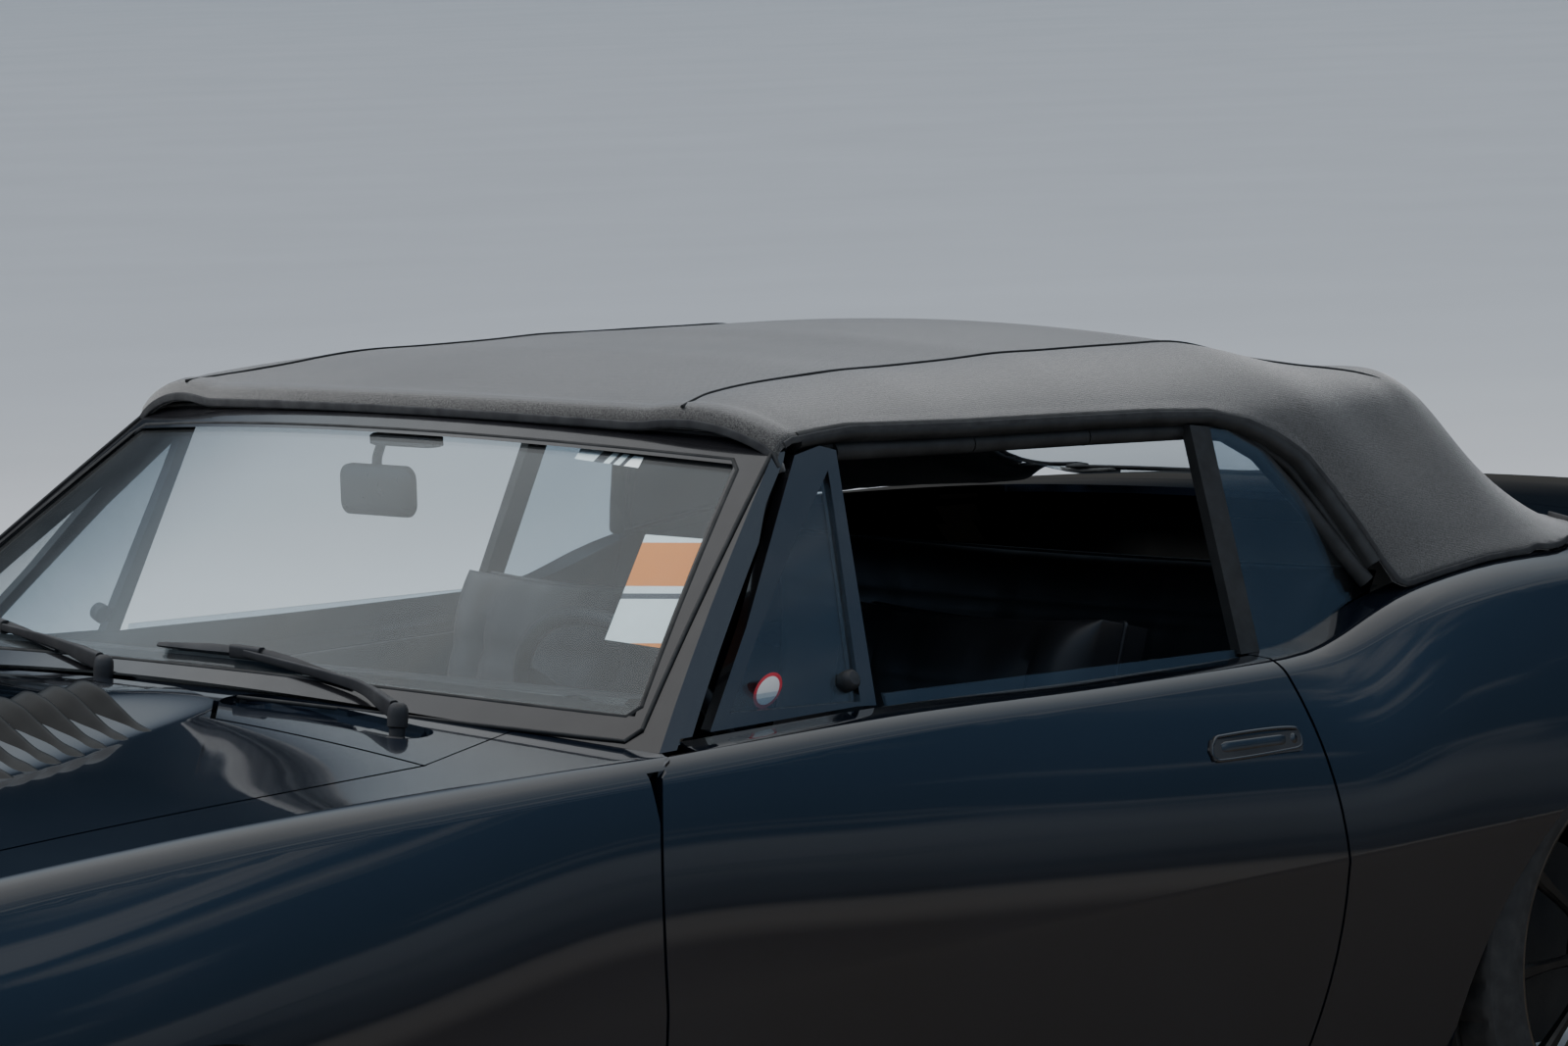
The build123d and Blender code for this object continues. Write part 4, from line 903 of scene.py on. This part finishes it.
# Each pivot's y and z, then the blade's near end, middle and far end
for pivot_y, pivot_z, near, middle, far in (
    (-524, 874, (-369, 925), (-177, 951), (-11, 952)), (36, 898, (176, 935), (370, 950), (540, 938)),
):
    hub = np.array([WIPER_X, pivot_y, pivot_z], float)
    wipers.turn(hub, (0.12, 0, 1), HUB, 32)
    elbow = on_screen(pivot_y + 150, (near[1] + pivot_z + 40) / 2 + 8, 33)
    path = smooth_path([hub + [4, 8, 34], elbow, on_screen(*middle, 27)], 12)
    width = np.interp(np.linspace(0, 1, len(path)), [0, 0.16, 0.3, 0.8, 1], [1.25, 1.15, 0.85, 0.55, 0.5])
    wipers.sweep(path, rounded(19, 9, 3), SCREEN_AXIS, width)
    blade = smooth_path([on_screen(*p, 19) for p in (near, middle, far)], 10)
    to_end = np.minimum(np.linspace(0, 1, len(blade)), np.linspace(1, 0, len(blade)))
    wipers.sweep(blade, BLADE, SCREEN_AXIS, 0.45 + 0.55 * np.clip(to_end / 0.25, 0, 1))
    bridge = [on_screen(middle[0] + 26 * end, middle[1] + end, 22) for end in (-1, 1)]
    wipers.sweep(bridge, rounded(18, 13, 4), SCREEN_AXIS)
    rubbers.sweep(blade - SCREEN_AXIS * 8.5, rounded(4.5, 12, 1.5), SCREEN_AXIS)
piece("wiper_arms_and_blades", wipers, TRIM, "black_plastic", nodes=("wipers",))
piece("wiper_rubbers", rubbers, RUBBER, "rubber")

# Outer door handle: a recess with its rim, a flush pull bar, and the lock button. Outlines are x and z
RECESS = [(424, 744), (420, 731), (430, 722), (590, 719), (603, 723), (606, 735), (600, 747), (440, 755)]
PULL_BAR, LOCK = [(440, 739), (510, 736.5), (572, 734)], (589, 733)
KNOB = [(0.01, 14), (9, 13), (13, 9), (14, 2), (14, -6), (6, -10), (0.01, -10)]
SIDES = (("left", -1), ("right", 1))


def on_side(x, z, out, side):
    """A point off the body's side by out."""
    return on_body(np.array([[x, side * 850.0, z]]))[0][0] + [0, side * out, 0]


for name, side in SIDES:
    lean = (0, side, 0.3)
    rim = [on_side(x, z, 1.2, side) for x, z in smooth_path(RECESS + RECESS[:1], 5)[:-1]]
    bar = [on_side(x, z, 0.8, side) for x, z in smooth_path(PULL_BAR, 8)]
    handle = Shape().sweep(rim, rounded(5, 5, 2), lean, closed=True)
    handle.sweep(bar, rounded(16, 7, 3), lean, [0.7] + [1.0] * (len(bar) - 2) + [0.7])
    handle.turn(on_side(*LOCK, 1, side), lean, [(0.01, 3.2), (6, 3), (8.5, 1), (8.5, -5)], 24)
    piece(name + "_handle", handle, GLOSS, "mirror_black", body=name + "_door")
# Vent window knob on the inside of each pane
for name, side in SIDES:
    knob = Shape().turn((-148, side * 738, 892), (0, side, 0.4), KNOB, 28)
    piece(name + "_vent_knob", knob, TRIM, "black_plastic", body=name + "_door")


# Seats: stuffed pads with sewn channels and a welt along the edge

def pad(name, node, origin, along, up, size, crown, grooves, columns=40, wing=0.0, back=0.0):
    """A crowned pad centred on origin, across the car. size is its width, length and thickness.

    grooves are (u or v, place, depth, width), with u across and v along, from -1 to 1.
    """
    rows, pinch, origin = 46, 0.06, np.asarray(origin, float)
    across, along, up = norm((0, 1, 0)), norm(along), norm(up)
    half_w, half_l, thick = size[0] / 2, size[1] / 2, size[2]
    us, vs = [np.sin(np.linspace(-math.pi / 2, math.pi / 2, count)) for count in (columns, rows)]
    top, bottom = [], []
    for v in vs:
        for u in us:
            # Sides that pull in between the corners
            pull_u, pull_v = 1 - pinch * (1 - v * v), 1 - pinch * 0.6 * (1 - u * u)
            edge = (max(0.0, 1 - abs(u) ** 7) * max(0.0, 1 - abs(v) ** 7)) ** 0.5
            h = thick * (0.5 + 0.5 * edge) + crown * (1 - u * u) * (1 - v * v)
            h += wing * max(0.0, (abs(u) - 0.62) / 0.38) * (1 - max(0.0, (abs(u) - 0.82) / 0.18) ** 2) * edge
            for axis, at, depth, width in grooves:
                h -= depth * math.exp(-(((u if axis == "u" else v) - at) / width) ** 2) * edge
            p = origin + across * u * half_w * pull_u + along * v * half_l * pull_v
            top.append(p + up * h)
            bottom.append(p - up * (thick * 0.5 * (1 - edge) - back * edge))
    faces, n = grid_faces(rows, columns), rows * columns
    shape = Shape(top, faces).add(bottom, reversed_faces(faces))
    rim = [*range(columns), *range(2 * columns - 1, n, columns)]
    rim += [*range(n - 2, n - columns - 1, -1), *range(n - 2 * columns, 0, -columns)]
    shape.faces += [(b, a, n + a, n + b) for a, b in zip(rim, rim[1:] + rim[:1])]
    welt = [(top[i] + bottom[i]) / 2 for i in rim][::2]
    welt = [p + norm(p - origin - up * np.dot(p - origin, up)) * 1.5 for p in welt]
    shape.sweep(welt, circle(3.6, 7), up, closed=True)
    obj = piece(name, shape, VINYL, "seat_vinyl", nodes=(node,), sharp=60)


SEAT_CHANNELS = [("u", -0.30, 7, 0.035), ("u", 0.30, 7, 0.035), ("u", -0.62, 12, 0.05), ("u", 0.62, 12, 0.05)]
BENCH_CHANNELS = [("u", -0.5, 6, 0.02), ("u", 0, 9, 0.03), ("u", 0.5, 6, 0.02)]
for name, side in SIDES:
    pad(name + "_seat_cushion", "front_seats", (140, side * 392, 300), (1, 0, 0.02), (0, 0, 1), (476, 500, 108), 22,
        SEAT_CHANNELS + [("v", -0.55, 6, 0.04), ("v", 0.1, 5, 0.03)], wing=26)
    pad(name + "_seat_back", "front_seats", (452, side * 392, 590), (0.246, 0, 1.0), (-1, 0, 0.246), (470, 610, 96), 18,
        SEAT_CHANNELS + [("v", 0.62, 8, 0.04), ("v", -0.2, 5, 0.03)], wing=24, back=-6)
pad("rear_bench_cushion", "rear_seat", (880, 0, 335), (1, 0, -0.06), (0, 0, 1), (1112, 310, 122), 20,
    BENCH_CHANNELS, columns=90)
pad("rear_bench_back", "rear_seat", (1090, 0, 700), (0.13, 0, 1), (-1, 0, 0.13), (1112, 400, 96), 16,
    BENCH_CHANNELS + [("v", 0.55, 6, 0.03)], columns=90, back=-8)

# Hood louvres: vanes that hook over the raised middle's flat top and sweep down its side, over a dark matte sheet that
# is painted shade for the gaps behind them.
# Columns: x, half width and height of the flat top, half width and height of the side's foot
BULGE_SIDE = np.array([(-1750, 185, 882, 365, 836), (-1230, 195, 924, 378, 860), (-960, 165, 930, 306, 870)], float)
LOUVRES, LOUVRE_PITCH, LOUVRE_END_X, LINE_POINTS = 11, 48.5, -938, 26
# A vane's section: distance back from its front edge, and height above the panel (the sheet of painted gap shade lies
# at 0.8)
VANE = [(0, 0.8), (4, 3.6), (14, 7.6), (26, 12.4), (34, 15.0), (39, 15.8), (42.5, 14.6), (43.2, 12.6), (40, 11.4),
        (33, 10.6), (24, 8.6)]


def side_line(x, rise):
    """A line down the bulge's side at station x, from its hook on the flat top to its foot, rise above the panel."""
    top_y, top_z, foot_y, foot_z = [np.interp(x, BULGE_SIDE[:, 0], column) for column in BULGE_SIDE.T[1:]]
    run, fall = foot_y - top_y, top_z - foot_z
    low = foot_z + 0.12 * fall
    key = np.array([
        (top_y - 13, top_z - 1.0 + rise * 0.35), (top_y - 6, top_z + 0.3 + rise * 0.9), (top_y + 6, top_z + rise),
        (top_y + 0.24 * run, top_z - 0.10 * fall + rise * 0.95), (top_y + 0.5 * run, top_z - 0.46 * fall + rise),
        (top_y + 0.74 * run, low + 0.10 * (top_z - low) + rise * 1.05),
        (foot_y - 0.08 * run, low + rise * 0.9), (foot_y + 4, low - 0.5 + rise * 0.45)])
    runs = run_lengths(key)
    at = np.linspace(0, runs[-1], LINE_POINTS)
    y, z = [smoothed(runs, column, at, 3.0) for column in key.T]
    return np.stack([0 * at + x, -y, z], 1)


# A dark matte sheet just over the bulge's side, under the vanes: painted shade for the gaps between them
gap_shade_lines = [side_line(x, 0.8) for x in np.linspace(-1488, -937, 24)]
gap_shade, vanes = Shape(flat(gap_shade_lines), grid_faces(24, LINE_POINTS)), Shape()
for index in range(LOUVRES):
    front_x = LOUVRE_END_X - LOUVRE_PITCH * (index + 1) + 6
    lines = [side_line(front_x + back, high) for back, high in VANE]
    for line in lines:
        line[0] += (line[1] - line[0]) * 0.35
    first = len(vanes.points)
    vanes.add(flat(lines), grid_faces(len(lines), LINE_POINTS))
    caps = [[first + k * LINE_POINTS + end for k in range(len(lines))] for end in (0, LINE_POINTS - 1)]
    vanes.faces += [tuple(caps[0]), tuple(reversed(caps[1]))]
# The dark sheet under the vanes is painted shade for their gaps, in the seam material
piece("louvre_beds", gap_shade.both(), SEAM_AND_GAP_SHADE, "satin_black", body="hood", nodes=("hood_louvres",))
piece("louvre_vanes", vanes.both(), LOUVRE, "satin_black", body="hood", nodes=("hood_louvres",), sharp=50)

# Inside mirror with its glass, on a curved stem, and the stem's foot under the header
CASE_STEPS = ((0, 8), (1.5, 3), (5, 0), (14, 1), (19, 8), (21, 20))  # Depth, and how far the outline draws in
STEM = [(-232, 47, 1112), (-229, 50, 1146), (-238, 32, 1170), (-248, 16, 1183)]
FOOT_STEPS = [(1174, 0.9), (1176, 1.0), (1187, 1.0), (1190, 0.92)]  # Height and scale
mirror = Shape().skin([
    [(-222 - depth, 47 + y, 1109 + z) for y, z in rounded(143 - 2 * inset, 70 - 2 * inset, max(18 - inset, 4), 6)]
    for depth, inset in CASE_STEPS])
mirror.sweep(smooth_path(STEM, 5), circle(7, 12), (1, 0, 0))
mirror.skin([[(-248 + a * k, -31 + b * k, z) for a, b in rounded(27, 128, 10, 5)] for z, k in FOOT_STEPS])
piece("mirror_case", mirror, MIRROR, "mirror_black", nodes=("inside_mirror",))

# Steering wheel: padded rim, three flat spokes and a horn button
COLUMN_TILT, WHEEL_RADIUS = math.radians(25), 185
HORN = [(0.01, 14), (30, 11), (36, 6), (37, -8), (32, -24), (0.01, -24)]
wheel_axis = norm((math.cos(COLUMN_TILT), 0, math.sin(COLUMN_TILT)))
wheel_up = norm((-wheel_axis[2], 0, wheel_axis[0]))
wheel_hub = np.array([-180.0, -370.0, 798.0])


def wheel_way(angle):
    return np.array([0.0, 1.0, 0.0]) * math.cos(angle) + wheel_up * math.sin(angle)


around = [wheel_hub + wheel_way(a) * WHEEL_RADIUS for a in np.linspace(0, 2 * math.pi, 73)[:-1]]
grip = Shape().sweep(around, circle(12.6, 14), wheel_axis, closed=True)
spider = Shape()
for angle in (-90, 30, 150):
    way = wheel_way(math.radians(angle))
    spoke = [wheel_hub + way * r - wheel_axis * d for r, d in ((24, 6), (70, 3), (120, 1), (178, 0))]
    spider.sweep(smooth_path(spoke, 12), rounded(26, 4, 1.8), wheel_axis)
spider.turn(wheel_hub - wheel_axis * 2, wheel_axis, HORN, 40)
for name, shape, material, slot in (("wheel_rim_grip", grip, VINYL, "seat_vinyl"),
                                    ("wheel_spokes", spider, SATIN, "satin_black")):
    piece(name, shape, material, slot, body="steering_wheel", nodes=("steering_wheel",))

# Rings pressed into a tyre's side: place up the wall, depth and spread
WALL_RINGS = ((0.16, 1.4, 0.03), (0.24, -1.2, 0.02), (0.80, 1.4, 0.03), (0.88, -1.0, 0.02))
TREAD_GROOVES, GROOVE_HALF, GROOVE_DEPTH, BLOCK_CUT = (-0.62, -0.22, 0.22, 0.62), 0.045, 7.0, 5.0


def tyre(node, x, y, z, rim_r, width, out):
    """A tyre about an axle at x, y, z: a rounded carcass and a block tread. out is -1 for the near side."""
    half, span, r, wall = width / 2, width / 2 - 30, z, []
    for t in np.linspace(0, 1, 15):
        bulge = half - 11 + 10.6 * math.sin(math.pi * min(t * 1.02 + 0.12, 1.0)) ** 0.8
        bulge -= sum(depth * math.exp(-((t - place) / spread) ** 2) for place, depth, spread in WALL_RINGS)
        wall.append((rim_r + 1.5 + t * (r - rim_r - 12), min(bulge, half - 0.3)))
    wall += [(r - 5.5, half - 15), (r - 2.0, half - 22)]
    tread = []
    for t in np.linspace(1, -1, 61):
        grooved = any(abs(t - g) < GROOVE_HALF for g in TREAD_GROOVES)
        tread.append((r - (GROOVE_DEPTH if grooved else 0.3 + 2.2 * abs(t) ** 5), t * span))
    profile = [(rim_r + 0.6, half - 26), *wall, *tread, *[(a, -b) for a, b in reversed(wall)], (rim_r + 0.6, 26 - half)]
    points, count = [], 180
    for k in range(count):
        a = 2 * math.pi * k / count
        for radius, across in profile:
            # Cross cuts in the shoulder blocks
            if k % 5 == 0 and 0.66 * span < abs(across) < half - 17 and radius > r - 6:
                radius -= BLOCK_CUT
            points.append((x + radius * math.cos(a), y + across * out, z + radius * math.sin(a)))
    faces = grid_faces(count, len(profile), True, True)
    shape = Shape(points, faces if out < 0 else reversed_faces(faces))
    piece(node + "_rubber", shape, TYRE, "tyre", body=BODY_OF[node], nodes=(node,), sharp=32)


def wheel(node, x, y, z, rim_r, width, out):
    """A stepped rim with ten slim tapered spokes and a dark centre with cap and lug nuts."""
    half, centre, way, spokes, hub_r = width / 2, (x, y, z), (0, out, 0), 10, 62

    def spot(r, d, a):
        return x + r * math.cos(a), y + out * d, z + r * math.sin(a)

    rim = Shape().turn(centre, way, [
        (rim_r - 0.5, half - 12), (rim_r - 1, half - 9), (rim_r - 5, half - 8.5), (rim_r - 8, half - 11),
        (rim_r - 13, half - 14), (rim_r - 17, half - 22), (rim_r - 24, half - 34), (rim_r - 30, half - 46),
        (rim_r - 30, 40 - half), (rim_r - 14, 24 - half), (rim_r - 2, 9 - half), (rim_r - 0.5, 9 - half)], 96)
    star = Shape()
    for k in range(spokes):
        rings = []
        for t in np.linspace(0, 1, 9):
            r = hub_r + t * (rim_r - 24 - hub_r)
            spread = (13 - 5 * math.sin(math.pi * min(1, t * 1.1)) - 1.5 * t) / r
            face, back = half - 25 - 5 * math.sin(math.pi * t) - 4 * (1 - t), half - 47
            # Six corners: the front face, its bevelled edges and the narrower back
            ring = [spot(r, d, 2 * math.pi * k / spokes + spread * side) for d, side in (
                (face, -0.62), (face, 0.62), (face - 5, 1), (back, 0.8), (back, -0.8), (face - 5, -1))]
            rings.append(ring[::-1] if out > 0 else ring)
        star.skin(rings)
    hub = Shape().turn(centre, way, [
        (0.01, half - 23), (26, half - 24), (30, half - 27), (31, half - 33), (64, half - 34), (73, half - 40),
        (73.5, half - 68), (0.01, half - 68)], 60)
    for k in range(5):
        hub.turn(spot(50, half - 36, 2 * math.pi * (k + 0.5) / 5), way, [(0.01, 11), (7, 10), (9.5, 6), (9.5, 0)], 6)
    for name, shape, material in (("_barrel", rim, RIM), ("_spokes", star, DARK_RIM), ("_hub", hub, DARK_RIM)):
        piece(node + name, shape, material, "rim_metal", body=BODY_OF[node], nodes=(node,), sharp=35)


for end in ("front", "rear"):
    for name, side in SIDES:
        (x0, y0, z0), (x1, y1, z1) = [[c * METRE for c in corner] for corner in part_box(f"{end}_{name}_tyre")]
        (_, _, rim_low), (_, _, rim_high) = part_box(f"{end}_{name}_wheel")
        rim_radius = (rim_high - rim_low) * METRE / 2
        spec = ((x0 + x1) / 2, (y0 + y1) / 2, (z0 + z1) / 2, rim_radius, y1 - y0, side)
        tyre(f"{end}_{name}_tyre", *spec)
        wheel(f"{end}_{name}_wheel", *spec)


# Stickers on the glass: plain strips and bands behind the windshield, and a round one on the vent glass

def patch(name, corners, material, lift, count=8):
    a, b, c, d = [np.asarray(p, float) + lift for p in corners]
    at = np.linspace(0, 1, count)
    points = [(a * (1 - u) + b * u) * (1 - v) + (d * (1 - u) + c * u) * v for v in at for u in at]
    piece(name, Shape(points, grid_faces(count, count)), material, "lamp_glass")


INK, AMBER, DARK = (0.02, 0.02, 0.025), (0.80, 0.22, 0.02), (0.05, 0.05, 0.06)
STRIP = banded("white_strip", "Y", [(-0.437, -0.430, INK), (-0.420, -0.414, INK), (-0.404, -0.388, INK)])
CARD = banded("pass_card", "Z", [(1.030, 1.078, AMBER), (0.960, 0.968, AMBER), (1.016, 1.022, DARK)])
patch("number_strip", [(-229, -351, 1193), (-218, -453, 1181), (-236, -460, 1169), (-251, -358, 1178)], STRIP,
      (-2, 0, -7))
patch("pass_card", [(-327, -545, 1091), (-291, -640, 1085), (-440, -710, 964), (-475, -615, 976)], CARD, (14, 0, -4))

# A round decal low on the near vent glass, with a red ring. Columns: name, radius, lift off the glass, material
RED = worn("decal_red", (0.52, 0.03, 0.05), (0.60, 0.04, 0.06), (0.35, 0.5))
WHITE = worn("decal_white", (0.70, 0.70, 0.68), (0.80, 0.80, 0.78), (0.35, 0.5))
for name, radius, lift, material in (("decal_ring", 25, 4.2, RED), ("decal_disc", 20, 4.5, WHITE)):
    profile = [(0.01, lift), (radius, lift), (radius, lift - 0.4)]
    disc = Shape().turn((-295.0, -733.0, 898.0), (0, -0.934, -0.358), profile, 40)
    piece(name, disc, material, "lamp_glass", body="left_door")


# Floor, wall, light and camera

def staged(name, location, rotation, material):
    """A large plane that only the studio has, and that no reflection shows."""
    bpy.ops.mesh.primitive_plane_add(size=400, location=location, rotation=rotation)
    plane = bpy.context.object
    plane.name = name
    dress(plane, material)
    plane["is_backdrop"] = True
    plane.visible_glossy = False


n = Material("studio_floor")
pale = n.finish(n.tones(0.6, 3, 0.74, 0.78), n.patches(2.0, 3, 0.8, 0.9), Specular_IOR_Level=0.1)
staged("studio_floor", (0, 0, 0), (0, 0, 0), pale)
staged("studio_wall", (85, 85, 100), (math.radians(90), 0, math.radians(-45)), pale)


def colour_ramp(height, stops):
    """A ramp by height, from 0 straight down over the horizon at 0.5 to 1 straight up, which stays white."""
    socket = n.add("ValToRGB", "Color", {"Fac": height})
    ramp = socket.node.color_ramp
    for k, (at, colour) in enumerate(stops):
        stop = ramp.elements[0] if k == 0 else ramp.elements.new(at)
        stop.position, stop.color = at, (*colour, 1)
    return socket


# A soft studio sky: pale overhead, deep blue with faint long streaks on the camera's side, dark below the horizon
world = bpy.context.scene.world or bpy.data.worlds.new("world")
bpy.context.scene.world = world
world.use_nodes = True
n = Nodes(world.node_tree, "Generated")
height = n.range(n.axes()["Z"], 0, 1, -1.0, 1.0)
away = n.add("VectorMath", "Value", {0: n.at, 1: (0.72, 0.69, 0.0)}, operation="DOT_PRODUCT")
beyond_share = n.range(away, 0, 1, -0.25, 0.75, interpolation_type="SMOOTHSTEP")
stretched = n.add("Mapping", "Vector", {"Vector": n.at, "Scale": (1.2, 1.2, 8.0)})
streak_share = n.range(n.noise(1.7, 4.0, vector=stretched, distortion=0.6), 0, 1, 0.47, 0.63,
                       interpolation_type="SMOOTHSTEP")
GROUND = [(0.0, (0.14, 0.12, 0.10)), (0.40, (0.25, 0.22, 0.185)), (0.465, (0.20, 0.175, 0.15)),
          (0.482, (0.42, 0.39, 0.35)), (0.497, (0.40, 0.38, 0.35))]
clear = colour_ramp(height, GROUND + [
    (0.504, (0.09, 0.10, 0.11)), (0.56, (0.11, 0.17, 0.25)), (0.68, (0.16, 0.31, 0.54)), (0.84, (0.26, 0.38, 0.56)),
    (0.93, (0.85, 0.92, 1.0))])
streaked = colour_ramp(height, GROUND + [
    (0.504, (0.11, 0.12, 0.13)), (0.56, (0.34, 0.39, 0.45)), (0.68, (0.66, 0.76, 0.90)), (0.84, (0.80, 0.88, 0.95)),
    (0.93, (1.0, 1.0, 1.0))])
beyond = colour_ramp(height, [
    (0.0, (0.03, 0.03, 0.03)), (0.47, (0.05, 0.05, 0.048)), (0.50, (0.045, 0.046, 0.046)),
    (0.53, (0.008, 0.011, 0.015)), (0.60, (0.005, 0.009, 0.014)), (0.67, (0.022, 0.034, 0.050)),
    (0.72, (0.24, 0.29, 0.35)), (0.78, (0.64, 0.72, 0.79)), (0.86, (0.95, 0.98, 1.0))])
sky = n.mix(beyond_share, n.mix(streak_share, clear, streaked), beyond)
n.fill(n.tree.nodes["Background"], {"Color": sky, "Strength": 1.0})

# Soft area lights: name, place, target, width and height in metres, and power in watts
for name, place_at, target, size, power in (
    ("top", (-2.2, 3.6, 6.6), (0.0, 0, 0.6), (6, 4), 1500), ("key", (-6.0, -5.0, 6.5), (0, 0, 0.7), (4, 2), 50),
):
    data = bpy.data.lights.new(name, "AREA")
    data.shape, data.size, data.size_y, data.energy = "RECTANGLE", *size, power
    light = bpy.data.objects.new(name, data)
    bpy.context.scene.collection.objects.link(light)
    light.location = place_at
    light.rotation_euler = (Vector(target) - Vector(place_at)).to_track_quat("-Z", "Y").to_euler()
    light.visible_glossy = False

# The photograph's camera: angles in radians, place in metres, focal length in the photograph's pixels
YAW, PITCH, ROLL = 0.804150, -0.103211, -0.030751
CAMERA_PLACE, FOCAL_PIXELS, PHOTO_WIDTH, SENSOR_MM = (-6.080841, -6.347107, 1.943419), 6554.56, 1600, 36.0
camera = bpy.data.objects.new("photo_camera", bpy.data.cameras.new("photo_camera"))
bpy.context.scene.collection.objects.link(camera)
bpy.context.scene.camera = camera
forward = Vector((math.sin(YAW) * math.cos(PITCH), math.cos(YAW) * math.cos(PITCH), math.sin(PITCH)))
level = Vector((math.cos(YAW), -math.sin(YAW), 0))
upright = level.cross(forward)
right = level * math.cos(ROLL) + upright * math.sin(ROLL)
up = upright * math.cos(ROLL) - level * math.sin(ROLL)
turn = Matrix((right, up, -forward)).transposed().to_4x4()
camera.matrix_world = Matrix.Translation(Vector(CAMERA_PLACE)) @ turn
camera.data.sensor_width, camera.data.lens = SENSOR_MM, FOCAL_PIXELS / PHOTO_WIDTH * SENSOR_MM
camera.data.clip_start, camera.data.clip_end = 0.1, 500

low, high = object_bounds()
